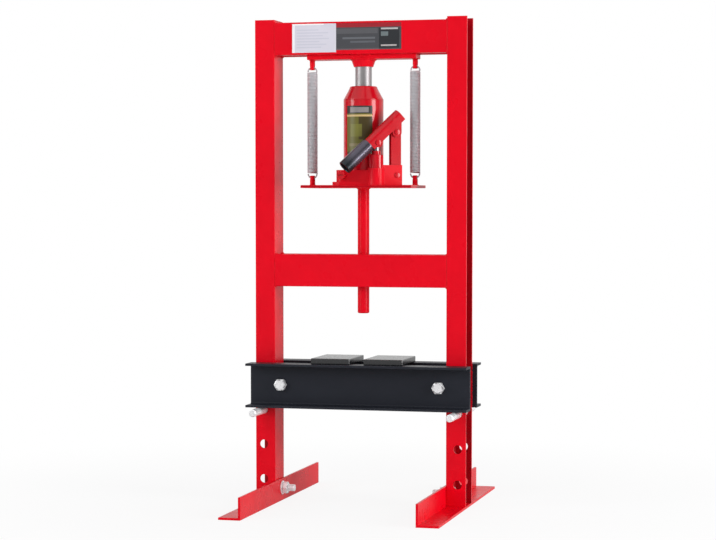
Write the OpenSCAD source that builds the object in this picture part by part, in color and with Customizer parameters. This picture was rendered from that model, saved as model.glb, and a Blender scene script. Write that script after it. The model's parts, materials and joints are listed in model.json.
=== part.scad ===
// Bench-height H-frame press driven by a bottle jack.
// The jack stands on a plate that hangs from two extension springs. Its ram pushes up against a
// socket under the top beam, so that the plate and the press rod welded under it are driven down.

/* [Posts] */
// Clear distance between the webs of the two posts
inner_w = 300; // [290:1:320]
// Height of the posts' top ends above the floor
post_top = 826; // [824:1:840]
// Depth of a post from front flange to rear flange
post_depth = 54; // [52:1:56]
// Reach of a post's flanges, web included
post_flange = 34; // [32:1:38]
// Thickness of the rolled channels
channel_t = 4; // [3:0.5:4.5]

/* [Height holes] */
// Height of the lowest row of holes for the bed pins
row_first = 41; // [38:1:44]
// Distance from one row of holes to the next
row_pitch = 60; // [56:1:64]
// Number of rows
row_count = 4; // [3:1:5]
// Row that holds the bed pins, counted from 0 at the bottom
pinned_row = 2; // [1:1:2]
// Diameter of a hole in the flanges
row_hole_d = 15; // [14.5:0.5:16]
// Distance from a post's web to the middle of its holes
row_hole_inset = 20; // [18:1:22]

/* [Feet] */
// Length of a foot, front to back
foot_len = 480; // [440:5:520]
// Width of each leg of a foot's angle iron
foot_leg = 38; // [38:1:42]
// Thickness of the angle iron
foot_t = 4; // [3:0.5:5]
// Height of the bolt that joins a foot to its post
foot_bolt_z = 23; // [20:1:24]

/* [Crossbeams] */
// Height of a crossbeam's web
beam_h = 55; // [50:1:56]
// Height of the top crossbeam's upper edge
top_beam_top = 821; // [818:1:823]
// Height of the middle crossbeam's upper edge
mid_beam_top = 428; // [424:1:432]
// Reach of a crossbeam's flanges, web included
beam_flange = 14; // [12:0.5:14]

/* [Bed] */
// Length of the bed
bed_len = 384; // [380:2:400]
// Height of the bed's channels
bed_h = 75; // [70:1:80]
// Reach of the bed's flanges, web included
bed_flange = 36; // [32:1:40]
// Gap between a post's flange and the bed's web
bed_side_gap = 1; // [0.5:0.5:2]
// Distance from the middle to each bolt that ties the bed together
bed_bolt_x = 138; // [136:1:138]
// Diameter of the bed pins
bed_pin_d = 13; // [12:0.5:13.5]
// Length of the bed pins
bed_pin_len = 190; // [170:5:210]
// Width, depth and thickness of a press plate
press_plate_size = [68, 100, 10];
// Gap between the two press plates
press_plate_gap = 24; // [22:1:30]

/* [Hanging jack] */
// Height of the base plate's upper face
base_plate_top = 545.5; // [544:0.5:547]
// Thickness of the base plate
base_plate_t = 5; // [4:0.5:6]
// Diameter of the press rod
rod_d = 20; // [18:0.5:22]
// Height of the press rod's lower end
rod_bottom = 327.5; // [322:0.5:335]
// Distance from the middle to each spring
spring_x = 90; // [88:0.5:91]
// Outside diameter of a spring
spring_od = 18; // [16:0.5:18]
// Diameter of the spring wire
spring_wire = 2.4; // [2:0.1:2.6]

/* [Jack] */
// Diameter of the ram
ram_d = 28; // [26:0.5:28]
// Outside diameter of the oil reservoir
reservoir_d = 68; // [66:0.2:72]
// Height of the top nut's upper face
top_nut_z = 712.6; // [710:0.2:714]
// Height of the base casting
jack_base_h = 25.5; // [25:0.5:27]
// Direction in which the pump lever points, from +X
lever_yaw = 215; // [213:1:218]
// Slope of the pump lever below level
lever_tilt = 42.6; // [41:0.2:44]
// Diameter of the handle that fits the lever's sleeve
handle_d = 18; // [17:0.5:18.5]

/* [Hidden] */
$fn = 64;

RED = [0.83, 0.03, 0.09];
BLACK = [0.14, 0.15, 0.17];
ZINC = [0.78, 0.79, 0.80];
STEEL = [0.62, 0.63, 0.65];
SLATE = [0.25, 0.28, 0.33];
RUBBER = [0.08, 0.08, 0.08];

// Room between a shaft and its hole
running_gap = 0.08;
pin_gap = 0.05;
// Room between faces that only pass each other
clear_gap = 0.3;
// Length added to a cutting tool so that it passes right through
through = 2;

// Rolled sections
channel_edge_r = 1.5;
channel_root_r = 3;

// M12 fasteners
bolt_d = 12;
bolt_hole_d = 12.6;
bolt_head_af = 19;
bolt_head_h = 8;
nut_h = 10;
nut_turn = 30;
washer_d = 24;
washer_t = 2.5;
foot_bolt_reach = 122;

half_w = inner_w / 2;
post_half = post_depth / 2;
pin_row_z = row_first + pinned_row * row_pitch;

// The pins lie in the bottom of their holes and the bed lies on the pins
bed_pin_z = pin_row_z - (row_hole_d - bed_pin_d) / 2 + clear_gap;
bed_bottom = bed_pin_z + bed_pin_d / 2 + clear_gap;
bed_top = bed_bottom + bed_h;
bed_mid = bed_bottom + bed_h / 2;
bed_web_y = post_half + bed_side_gap;
bed_spacer_d = 20;
bed_pin_x = half_w + row_hole_inset;
bed_pin_chamfer = 1.5;

// Labels on the top beam, as thin plates
label_t = 0.3;
label_top = top_beam_top - 3;
pale_label_x = [-118, -41];
pale_label_h = 48.5;
dark_label_x = [-41, 72];
dark_label_h = 45;

// Bar under the top beam, with a socket for the ram and studs for the springs
spring_bar_size = [190, 36, 8];
spring_bar_bottom = top_beam_top - beam_h - spring_bar_size.z;
ram_socket_h = 12.5;
ram_socket_roof = 1.5;
ram_socket_top_r = 21;
ram_socket_low_r = 16.4;
stud_d = 9;
stud_len = 16.5;
stud_eye_r = 2.9;
stud_eye_end = 4.5;
coil_r = (spring_od - spring_wire) / 2;
hook_drop = coil_r - 0.1;
upper_eye_z = spring_bar_bottom - stud_len + stud_eye_end;
lower_eye_z = base_plate_top + stud_len - stud_eye_end;
coil_top = upper_eye_z - hook_drop;
coil_bottom = lower_eye_z + hook_drop;

// Hanging plate and rod
base_plate_size = [192, 112, base_plate_t];
rod_chamfer = 1.5;

// Jack base
foot_flange_h = 5.5;
jack_block_x = [-40, 49];
jack_block_y = 40;
jack_block_r = 12;
foot_flange_rim = 7;
base_top = base_plate_top + jack_base_h;
cylinder_seat = base_top - 5;
cylinder_bore_r = 17;
cylinder_r = 22;
cylinder_top = top_nut_z - 20.6;
reservoir_wall = 2;
reservoir_seat = base_top - 3;
reservoir_top = top_nut_z - 23.6;
reservoir_r = reservoir_d / 2;
slip = 0.1;
ram_r = ram_d / 2;
ram_top = spring_bar_bottom - ram_socket_roof - clear_gap;
piston_bottom = cylinder_seat + 7;
piston_h = 12;
piston_r = cylinder_bore_r - running_gap;
seal_groove = 4;
seal_depth = 2.5;
wiper_z = top_nut_z - 8.6;
jack_label_angle = 80;
jack_label_z = [598, 679];
oil_plug_z = 665;
oil_plug_r = 4;
oil_way_r = 2;
oil_way_z = base_plate_top + 11.5;
ball_r = 3;
ball_pocket_r = 3.4;
cylinder_ball_z = cylinder_seat - 4;
pump_ball_z = base_plate_top + 7.5;

// Pump lever: x runs out along the lever, z up, from a point on the link's axis
pivot_x = 60.2;
pivot_y = -21.7;
link_low_z = 562;
link_high_z = 634;
plunger_x = 34;
plunger_pin_z = 616.3;
socket_axis_z = 657.2;
link_t = 10;
link_w = 18;
link_end_r = 9;
small_pin_r = 3;
pin_head_r = 4.8;
pin_head_h = 2;
pump_boss_r = 14;
pump_boss_top = base_top + 3;
pump_r = 12;
pump_bottom = 556;
pump_top = 596;
plunger_r = 5.5;
plunger_bottom = 559;
plunger_eye_t = 12;
gland_top = 602.5;
gland_r = 7.5;
plunger_seal_z = 588;
lug_half = 10;
lug_back = 9;
lug_top = base_top + 8;
yoke_r = 10;
yoke_inner_r = 8;
yoke_back = -10;
yoke_front = 65.5;
cheek_drop = 10.8;
cheek_ear_r = 8;
plunger_slack_r = 4.4;
sleeve_r = 12.2;
sleeve_end = 123;
sleeve_bore_r = handle_d / 2 + 0.25;
sleeve_bore_len = 50;
spigot_len = 2.5;

// Release valve in the front of the jack base
valve_x = -26.5;
valve_z = 562;
valve_stem_r = 4;
valve_head_r = 6.5;
valve_head_len = 12;
valve_bore_end = -12;
valve_slot_w = 2.4;
valve_ball_r = 2.5;
valve_ball_y = valve_bore_end - valve_ball_r - slip;
valve_tip_y = valve_ball_y - valve_ball_r - slip;

// ---- helpers ----

// Rectangle from x = 0 to w, centred on y, with its corners at x = 0 rounded
module root_rounded(h, w, r) {
    translate([r, -h / 2]) square([w - r, h]);
    translate([0, r - h / 2]) square([w, h - 2 * r]);
    for (side = [-1, 1]) translate([r, side * (h / 2 - r)]) circle(r = r);
}

// Channel section: web on x = 0, flanges reaching to +x
module channel_section(web, flange) {
    difference() {
        root_rounded(web, flange, channel_edge_r);
        translate([channel_t, 0]) root_rounded(web - 2 * channel_t, flange, channel_root_r);
    }
}

// Extrudes a section along X, with the section's x on Y and its y on Z
module along_x(length) {
    rotate([90, 0, 90]) linear_extrude(height = length, center = true) children();
}

module round_y(r, length) {
    rotate([90, 0, 0]) cylinder(r = r, h = length, center = true);
}

module round_x(r, length) {
    rotate([0, 90, 0]) cylinder(r = r, h = length, center = true);
}

module other_side() {
    mirror([1, 0, 0]) children();
}

module both_sides() {
    children();
    other_side() children();
}

function chamfered_outline(a, b, c) = [
    [c - a, -b], [a - c, -b], [a, c - b], [a, b - c], [a - c, b], [c - a, b], [-a, b - c], [-a, c - b]
];

// Block centred on x and y, standing on z = 0, with all its edges chamfered
module chamfered_block(size, c) {
    half = size / 2;
    translate([0, 0, half.z]) intersection() {
        linear_extrude(height = size.z, center = true)
            polygon(chamfered_outline(half.x, half.y, c));
        rotate([90, 0, 0]) linear_extrude(height = size.y, center = true)
            polygon(chamfered_outline(half.x, half.z, c));
        rotate([90, 0, 90]) linear_extrude(height = size.x, center = true)
            polygon(chamfered_outline(half.y, half.z, c));
    }
}

module rounded_rect(x_range, half_y, r) {
    width = x_range[1] - x_range[0];
    translate([x_range[0] + r, -half_y]) square([width - 2 * r, 2 * half_y]);
    translate([x_range[0], r - half_y]) square([width, 2 * (half_y - r)]);
    for (x = [x_range[0] + r, x_range[1] - r], y = [r - half_y, half_y - r])
        translate([x, y]) circle(r = r);
}

module ring(outer, inner, low, high) {
    translate([0, 0, low]) difference() {
        cylinder(r = outer, h = high - low);
        translate([0, 0, -through]) cylinder(r = inner, h = high - low + 2 * through);
    }
}

module hex(across_flats, h) {
    cylinder(d = across_flats / cos(30), h = h, $fn = 6);
}

module hex_nut(h) {
    difference() {
        hex(bolt_head_af, h);
        translate([0, 0, -through]) cylinder(d = bolt_d + 2 * pin_gap, h = h + 2 * through);
    }
}

// Bolt with its head below z = 0 and its shank up to z = length
module hex_bolt(length) {
    translate([0, 0, -bolt_head_h]) hex(bolt_head_af, bolt_head_h);
    cylinder(d = bolt_d, h = length - 1);
    translate([0, 0, length - 1]) cylinder(d1 = bolt_d, d2 = bolt_d - 2, h = 1);
}

// Pin along y with a head at each end, its shank clear of whatever lies within half_len
module headed_pin(half_len) {
    round_y(small_pin_r, 2 * half_len);
    for (side = [-1, 1]) translate([0, side * (half_len + pin_head_h / 2), 0])
        round_y(pin_head_r, pin_head_h);
}

// ---- frame ----

module post() {
    color(RED) difference() {
        translate([half_w, 0, foot_t]) linear_extrude(height = post_top - foot_t)
            channel_section(post_depth, post_flange);
        for (row = [0 : row_count - 1])
            translate([bed_pin_x, 0, row_first + row * row_pitch])
                round_y(row_hole_d / 2, post_depth + through);
        translate([half_w + channel_t / 2, 0, foot_bolt_z])
            round_x(bolt_hole_d / 2, channel_t + through);
    }
}

module crossbeam(top_z) {
    color(RED) translate([0, -post_half, top_z - beam_h / 2])
        along_x(inner_w) channel_section(beam_h, beam_flange);
}

module left_post() { other_side() post(); }
module right_post() { post(); }
module top_beam_front() { crossbeam(top_beam_top); }
module top_beam_rear() { mirror([0, 1, 0]) crossbeam(top_beam_top); }
module mid_beam_front() { crossbeam(mid_beam_top); }
module mid_beam_rear() { mirror([0, 1, 0]) crossbeam(mid_beam_top); }

// Guide tube for the press rod, welded between the two middle beams
module rod_guide() {
    color(RED)
        ring(post_half - beam_flange, rod_d / 2 + running_gap, mid_beam_top - beam_h, mid_beam_top);
}

module spring_bar() {
    color(RED) translate([0, 0, spring_bar_bottom]) chamfered_block(spring_bar_size, 0.8);
}

// Tapered socket that the ram's upper end sits in
module ram_socket() {
    bottom = spring_bar_bottom - ram_socket_h;
    color(RED) difference() {
        translate([0, 0, bottom])
            cylinder(r1 = ram_socket_low_r, r2 = ram_socket_top_r, h = ram_socket_h);
        translate([0, 0, bottom - through])
            cylinder(r = ram_r + 2 * clear_gap, h = ram_socket_h - ram_socket_roof + through);
    }
}

// Stud that hangs down from z = 0, with an eye across it near its end
module spring_stud() {
    color(RED) translate([spring_x, 0, 0]) difference() {
        union() {
            translate([0, 0, 1 - stud_len]) cylinder(d = stud_d, h = stud_len - 1);
            translate([0, 0, -stud_len]) cylinder(d1 = stud_d - 2, d2 = stud_d, h = 1);
        }
        translate([0, 0, stud_eye_end - stud_len]) round_x(stud_eye_r, stud_d + through);
    }
}

module upper_spring_studs() {
    translate([0, 0, spring_bar_bottom]) both_sides() spring_stud();
}

// Half loop of wire that closes a spring's end and passes through a stud's eye
module spring_hook() {
    rotate([90, 0, 0]) rotate_extrude(angle = 180) translate([coil_r, 0]) circle(d = spring_wire);
}

module spring_right() {
    color(STEEL) translate([spring_x, 0, 0]) {
        ring(spring_od / 2, spring_od / 2 - spring_wire, coil_bottom - 0.2, coil_top + 0.2);
        translate([0, 0, coil_top]) spring_hook();
        translate([0, 0, coil_bottom]) mirror([0, 0, 1]) spring_hook();
    }
}

module spring_left() { other_side() spring_right(); }

module beam_label(x_range, height) {
    translate([x_range[0], -post_half - label_t, label_top - height])
        cube([x_range[1] - x_range[0], label_t, height]);
}

module pale_label() { color([0.9, 0.9, 0.96]) beam_label(pale_label_x, pale_label_h); }
module dark_label() { color([0.3, 0.3, 0.33]) beam_label(dark_label_x, dark_label_h); }

// Angle iron along Y: one leg against the inner face of the post's web, the other under the post
module foot() {
    color(RED) difference() {
        translate([half_w - foot_t, 0, 0]) rotate([90, 0, 0])
            linear_extrude(height = foot_len, center = true) union() {
                square([foot_t, foot_leg]);
                square([foot_leg, foot_t]);
            }
        translate([half_w - foot_t / 2, 0, foot_bolt_z])
            round_x(bolt_hole_d / 2, foot_t + through);
    }
}

module left_foot() { other_side() foot(); }
module right_foot() { foot(); }

// Places its children at a foot's bolt, with z pointing inward from the post's inner face
module at_foot_bolt(x) {
    translate([x, 0, foot_bolt_z]) rotate([0, -90, 0]) children();
}

module foot_bolts() {
    color(ZINC) both_sides() at_foot_bolt(half_w + channel_t)
        hex_bolt(half_w + channel_t - foot_bolt_reach);
}

module foot_washers() {
    color(ZINC) both_sides() at_foot_bolt(half_w - foot_t) difference() {
        cylinder(d = washer_d, h = washer_t);
        translate([0, 0, -through]) cylinder(d = bolt_hole_d, h = washer_t + 2 * through);
    }
}

module foot_nuts() {
    color(ZINC) both_sides() at_foot_bolt(half_w - foot_t - washer_t)
        rotate(nut_turn) hex_nut(nut_h);
}

// ---- hanging plate, rod and jack ----

module jack_base_plate() {
    color(RED) translate([0, 0, base_plate_top - base_plate_t]) chamfered_block(base_plate_size, 0.8);
}

module press_rod() {
    top = base_plate_top - base_plate_t;
    color(RED) {
        translate([0, 0, rod_bottom + rod_chamfer])
            cylinder(d = rod_d, h = top - rod_bottom - rod_chamfer);
        translate([0, 0, rod_bottom])
            cylinder(d1 = rod_d - 2 * rod_chamfer, d2 = rod_d, h = rod_chamfer);
    }
}

module lower_spring_studs() {
    translate([0, 0, base_plate_top]) mirror([0, 0, 1]) both_sides() spring_stud();
}

// Turns the lever's frame, with x out along the lever and z up, into place
module at_lever() {
    translate([pivot_x, pivot_y, 0]) rotate([0, 0, lever_yaw]) children();
}

module block_up(low, high) {
    translate([0, 0, low]) linear_extrude(height = high - low) children();
}

module jack_base() {
    rim_x = [jack_block_x[0] - foot_flange_rim, jack_block_x[1] + foot_flange_rim];
    rim_y = jack_block_y + foot_flange_rim - 1;
    color(RED) difference() {
        union() {
            block_up(base_plate_top, base_plate_top + foot_flange_h)
                rounded_rect(rim_x, rim_y, jack_block_r + foot_flange_rim);
            block_up(base_plate_top, base_top) rounded_rect(jack_block_x, jack_block_y, jack_block_r);
            at_lever() {
                block_up(base_plate_top, lug_top)
                    translate([-lug_back, -lug_half]) square([plunger_x + lug_back, 2 * lug_half]);
                translate([plunger_x, 0, base_plate_top])
                    cylinder(r = pump_boss_r, h = pump_boss_top - base_plate_top);
            }
        }
        // Seats of the pressure cylinder and the reservoir
        translate([0, 0, cylinder_seat]) cylinder(r = cylinder_r + pin_gap, h = 2 * jack_base_h);
        ring(reservoir_r + slip, reservoir_r - reservoir_wall - slip, reservoir_seat, pump_boss_top);
        // Oil ways and ball pockets
        translate([0, 0, oil_way_z]) cylinder(r = oil_way_r, h = jack_base_h);
        translate([0, 0, cylinder_ball_z - ball_r - slip])
            cylinder(r = ball_pocket_r, h = 2 * ball_r + through);
        at_lever() {
            translate([plunger_x, 0, pump_bottom]) cylinder(r = pump_r + pin_gap, h = jack_base_h);
            translate([plunger_x, 0, pump_ball_z - ball_r - slip])
                cylinder(r = ball_pocket_r, h = 2 * ball_r + through);
            // Slot and pin hole for the link
            translate([-lug_back - through, -link_t / 2 - clear_gap, link_low_z - link_end_r - 1])
                cube([lug_back + link_end_r + 2 + through, link_t + 2 * clear_gap, 2 * jack_base_h]);
            translate([0, 0, link_low_z]) round_y(small_pin_r + pin_gap, 2 * lug_half + through);
        }
        // Bore of the release valve, from the front face to the oil way
        translate([valve_x, valve_bore_end, valve_z]) rotate([90, 0, 0])
            cylinder(r = valve_stem_r + running_gap, h = jack_block_y);
    }
}

module pressure_cylinder() {
    color(STEEL) ring(cylinder_r, cylinder_bore_r, cylinder_seat, cylinder_top);
}

module reservoir() {
    color(RED) difference() {
        ring(reservoir_r, reservoir_r - reservoir_wall, reservoir_seat, reservoir_top);
        translate([0, reservoir_r, oil_plug_z]) round_y(oil_plug_r, 4 * reservoir_wall);
    }
}

// Cap that closes the reservoir, holds the pressure cylinder down and guides the ram
module top_nut() {
    bore_r = ram_r + running_gap;
    skirt_bottom = reservoir_top - 9;
    skirt_r = reservoir_r - reservoir_wall - slip;
    color(RED) rotate_extrude() polygon([
        [cylinder_r + pin_gap, skirt_bottom], [skirt_r, skirt_bottom], [skirt_r, reservoir_top],
        [reservoir_r, reservoir_top], [reservoir_r, reservoir_top + 1.5],
        [reservoir_r - 1.4, reservoir_top + 4], [reservoir_r - 6.7, top_nut_z - 10],
        [reservoir_r - 10.2, top_nut_z - 3], [reservoir_r - 10.7, top_nut_z - 1.2],
        [reservoir_r - 11.8, top_nut_z], [bore_r, top_nut_z],
        [bore_r, wiper_z + seal_groove], [bore_r + seal_depth, wiper_z + seal_groove],
        [bore_r + seal_depth, wiper_z], [bore_r, wiper_z],
        [bore_r, cylinder_top], [cylinder_r + pin_gap, cylinder_top]
    ]);
}

module wiper_seal() {
    color(RUBBER) ring(ram_r + running_gap + seal_depth - pin_gap, ram_r + pin_gap,
        wiper_z + slip, wiper_z + seal_groove - slip);
}

// Thin label wrapped round the front of the reservoir
module jack_label() {
    color([0.42, 0.42, 0.16]) rotate([0, 0, 270 - jack_label_angle / 2])
        rotate_extrude(angle = jack_label_angle)
            translate([reservoir_r, jack_label_z[0]])
                square([label_t, jack_label_z[1] - jack_label_z[0]]);
}

module oil_plug() {
    color(RUBBER) {
        translate([0, reservoir_r, oil_plug_z]) round_y(oil_plug_r - pin_gap, 3 * reservoir_wall);
        translate([0, reservoir_r + 1.5, oil_plug_z]) round_y(oil_plug_r + 1.5, 2.4);
    }
}

// Steel balls of the pump's one-way valves, one under the pump and one under the ram
module check_balls() {
    color(STEEL) {
        translate([0, 0, cylinder_ball_z]) sphere(r = ball_r);
        at_lever() translate([plunger_x, 0, pump_ball_z]) sphere(r = ball_r);
    }
}

module valve_ball() {
    color(STEEL) translate([valve_x, valve_ball_y, valve_z]) sphere(r = valve_ball_r);
}

// Ram with the piston on its lower end
module ram() {
    groove_z = piston_bottom + (piston_h - seal_groove) / 2;
    color(ZINC) rotate_extrude() polygon([
        [0, piston_bottom], [piston_r, piston_bottom], [piston_r, groove_z],
        [piston_r - seal_depth, groove_z], [piston_r - seal_depth, groove_z + seal_groove],
        [piston_r, groove_z + seal_groove], [piston_r, piston_bottom + piston_h],
        [ram_r, piston_bottom + piston_h], [ram_r, ram_top - 1], [ram_r - 1, ram_top], [0, ram_top]
    ]);
}

module piston_seal() {
    groove_z = piston_bottom + (piston_h - seal_groove) / 2;
    color(RUBBER) ring(cylinder_bore_r - pin_gap, piston_r - seal_depth + pin_gap,
        groove_z + slip, groove_z + seal_groove - slip);
}

// ---- pump ----

module at_pump() {
    at_lever() translate([plunger_x, 0, 0]) children();
}

module pump_cylinder() {
    color(RED) at_pump() difference() {
        ring(pump_r, plunger_r + running_gap, pump_bottom, pump_top);
        translate([0, 0, plunger_seal_z])
            cylinder(r = plunger_r + seal_depth, h = pump_top - plunger_seal_z + through);
    }
}

// Gland that keeps the plunger's seal in the pump
module pump_gland() {
    color(RED) at_pump() {
        ring(gland_r, plunger_r + running_gap, pump_top, gland_top);
        ring(gland_r - clear_gap, plunger_r + running_gap, plunger_seal_z + seal_groove, pump_top);
    }
}

module plunger_seal() {
    color(RUBBER) at_pump() ring(plunger_r + seal_depth - pin_gap, plunger_r + pin_gap,
        plunger_seal_z + slip, plunger_seal_z + seal_groove - slip);
}

module pump_plunger() {
    color(STEEL) at_pump() difference() {
        union() {
            translate([0, 0, plunger_bottom])
                cylinder(r = plunger_r, h = plunger_pin_z - plunger_bottom - plunger_r);
            translate([0, 0, plunger_pin_z]) round_y(plunger_r, plunger_eye_t);
            translate([-plunger_r, -plunger_eye_t / 2, plunger_pin_z - plunger_r])
                cube([2 * plunger_r, plunger_eye_t, plunger_r]);
        }
        translate([0, 0, plunger_pin_z]) round_y(small_pin_r + pin_gap, plunger_eye_t + through);
    }
}

module plunger_pin() {
    color(RED) at_pump() translate([0, 0, plunger_pin_z]) headed_pin(yoke_r + clear_gap);
}

// Bar that carries the lever's pivot; it rocks on a pin in the jack base
module pump_link() {
    color(RED) at_lever() difference() {
        union() {
            translate([0, 0, link_low_z]) round_y(link_end_r, link_t);
            translate([0, 0, link_high_z]) round_y(link_end_r, link_t);
            translate([-link_w / 2, -link_t / 2, link_low_z])
                cube([link_w, link_t, link_high_z - link_low_z]);
        }
        for (z = [link_low_z, link_high_z])
            translate([0, 0, z]) round_y(small_pin_r + pin_gap, link_t + through);
    }
}

module link_pin() {
    color(RED) at_lever() translate([0, 0, link_low_z]) headed_pin(lug_half);
}

module lever_pin() {
    color(RED) at_lever() translate([0, 0, link_high_z]) headed_pin(yoke_r + clear_gap);
}

// Turns the socket's frame, with x along its axis, into the lever's frame
module at_socket() {
    translate([0, 0, socket_axis_z]) rotate([0, lever_tilt, 0]) children();
}

// Side plate of the yoke, drawn with x out along the lever and y up
module cheek_outline() {
    translate([0, socket_axis_z]) rotate(-lever_tilt)
        translate([yoke_back, -cheek_drop]) square([yoke_front - yoke_back, cheek_drop]);
    translate([-cheek_ear_r, link_high_z]) square([2 * cheek_ear_r, socket_axis_z - link_high_z]);
    translate([0, link_high_z]) circle(r = cheek_ear_r);
    translate([plunger_x, plunger_pin_z]) circle(r = cheek_ear_r);
}

// Round-backed channel, open below, that holds the link and the plunger between its cheeks
module lever_yoke() {
    cheek_t = yoke_r - yoke_inner_r;
    color(RED) at_lever() difference() {
        union() {
            at_socket() difference() {
                translate([yoke_back, 0, 0]) rotate([0, 90, 0])
                    cylinder(r = yoke_r, h = yoke_front - yoke_back);
                translate([yoke_back - through, 0, 0]) rotate([0, 90, 0])
                    cylinder(r = yoke_inner_r, h = yoke_front - yoke_back + 2 * through);
                translate([yoke_back - through, -2 * yoke_r, -2 * yoke_r])
                    cube([yoke_front - yoke_back + 2 * through, 4 * yoke_r, 2 * yoke_r]);
            }
            for (y = [-yoke_inner_r, yoke_r]) translate([0, y, 0])
                rotate([90, 0, 0]) linear_extrude(height = cheek_t) cheek_outline();
        }
        translate([0, 0, link_high_z]) round_y(small_pin_r + pin_gap, 2 * yoke_r + through);
        translate([plunger_x, 0, plunger_pin_z]) round_y(plunger_slack_r, 2 * yoke_r + through);
    }
}

// Tube that takes the pump handle, with a short spigot in the yoke
module handle_sleeve() {
    color(SLATE) at_lever() at_socket() rotate([0, 90, 0]) difference() {
        union() {
            translate([0, 0, yoke_front]) cylinder(r = sleeve_r, h = sleeve_end - yoke_front);
            translate([0, 0, yoke_front - spigot_len])
                cylinder(r = yoke_inner_r - clear_gap, h = spigot_len);
        }
        translate([0, 0, sleeve_end - sleeve_bore_len])
            cylinder(r = sleeve_bore_r, h = sleeve_bore_len + through);
    }
}

// Screw whose tip presses a ball on its seat, with a slotted head for the handle's end
module release_valve() {
    head_end = -jack_block_y - 1 - valve_head_len;
    color(RED) translate([valve_x, 0, valve_z]) difference() {
        union() {
            translate([0, valve_tip_y, 0]) rotate([90, 0, 0])
                cylinder(r = valve_stem_r, h = jack_block_y + valve_tip_y + 2);
            translate([0, -jack_block_y - 1, 0]) rotate([90, 0, 0])
                cylinder(r = valve_head_r, h = valve_head_len);
        }
        translate([0, head_end, 0]) cube([3 * valve_head_r, 8, valve_slot_w], center = true);
    }
}

// ---- bed ----

module bed_channel() {
    color(BLACK) difference() {
        translate([0, bed_web_y, bed_mid]) along_x(bed_len) channel_section(bed_h, bed_flange);
        for (side = [-1, 1]) translate([side * bed_bolt_x, bed_web_y + channel_t / 2, bed_mid])
            round_y(bolt_hole_d / 2, channel_t + through);
    }
}

module bed_channel_rear() { bed_channel(); }
module bed_channel_front() { mirror([0, 1, 0]) bed_channel(); }

// Places its children at a bed bolt, with z pointing backward from y
module at_bed_bolt(y) {
    translate([bed_bolt_x, y, bed_mid]) rotate([-90, 0, 0]) children();
}

module bed_spacers() {
    color(BLACK) both_sides() at_bed_bolt(-bed_web_y) difference() {
        cylinder(d = bed_spacer_d, h = 2 * bed_web_y);
        translate([0, 0, -through]) cylinder(d = bolt_hole_d, h = 2 * bed_web_y + 2 * through);
    }
}

module bed_bolts() {
    web_face = bed_web_y + channel_t;
    color(ZINC) both_sides() at_bed_bolt(-web_face) hex_bolt(2 * web_face + nut_h + 4);
}

module bed_nuts() {
    color(ZINC) both_sides() at_bed_bolt(bed_web_y + channel_t) hex_nut(nut_h);
}

module press_plate_right() {
    color(BLACK) translate([(press_plate_gap + press_plate_size.x) / 2, 0, bed_top])
        chamfered_block(press_plate_size, 1);
}

module press_plate_left() { other_side() press_plate_right(); }

module bed_pin_right() {
    half = bed_pin_len / 2 - bed_pin_chamfer;
    color(ZINC) translate([bed_pin_x, 0, bed_pin_z]) {
        round_y(bed_pin_d / 2, 2 * half);
        for (turn = [-90, 90]) rotate([turn, 0, 0]) translate([0, 0, half])
            cylinder(d1 = bed_pin_d, d2 = bed_pin_d - 2 * bed_pin_chamfer, h = bed_pin_chamfer);
    }
}

module bed_pin_left() { other_side() bed_pin_right(); }

// ---- what is drawn ----

left_post();
right_post();
top_beam_front();
top_beam_rear();
mid_beam_front();
mid_beam_rear();
rod_guide();
spring_bar();
ram_socket();
upper_spring_studs();
spring_left();
spring_right();
pale_label();
dark_label();
left_foot();
right_foot();
foot_bolts();
foot_washers();
foot_nuts();
jack_base_plate();
press_rod();
lower_spring_studs();
jack_base();
pressure_cylinder();
reservoir();
top_nut();
wiper_seal();
jack_label();
oil_plug();
check_balls();
valve_ball();
pump_cylinder();
pump_gland();
plunger_seal();
link_pin();
ram();
piston_seal();
pump_link();
lever_pin();
lever_yoke();
handle_sleeve();
pump_plunger();
plunger_pin();
release_valve();
bed_channel_front();
bed_channel_rear();
bed_spacers();
bed_bolts();
bed_nuts();
press_plate_left();
press_plate_right();
bed_pin_left();
bed_pin_right();
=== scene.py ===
# %% [markdown]
# # A bench-height H-frame press
# Two channel posts stand on angle-iron feet, two pairs of crossbeams tie them together, and a
# bottle jack hangs from two springs under the top beam. The measured parts come from the packed
# frame, and nothing here moves them. This lesson gives each part its real edges, threads, wire,
# welds and finish, then sets up a plain studio round it. The frame is loaded first, because every
# later cell asks it where things are.

# %% Load the measured frame
import json
import math
import bmesh
import bpy
from mathutils import Matrix, Vector


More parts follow.
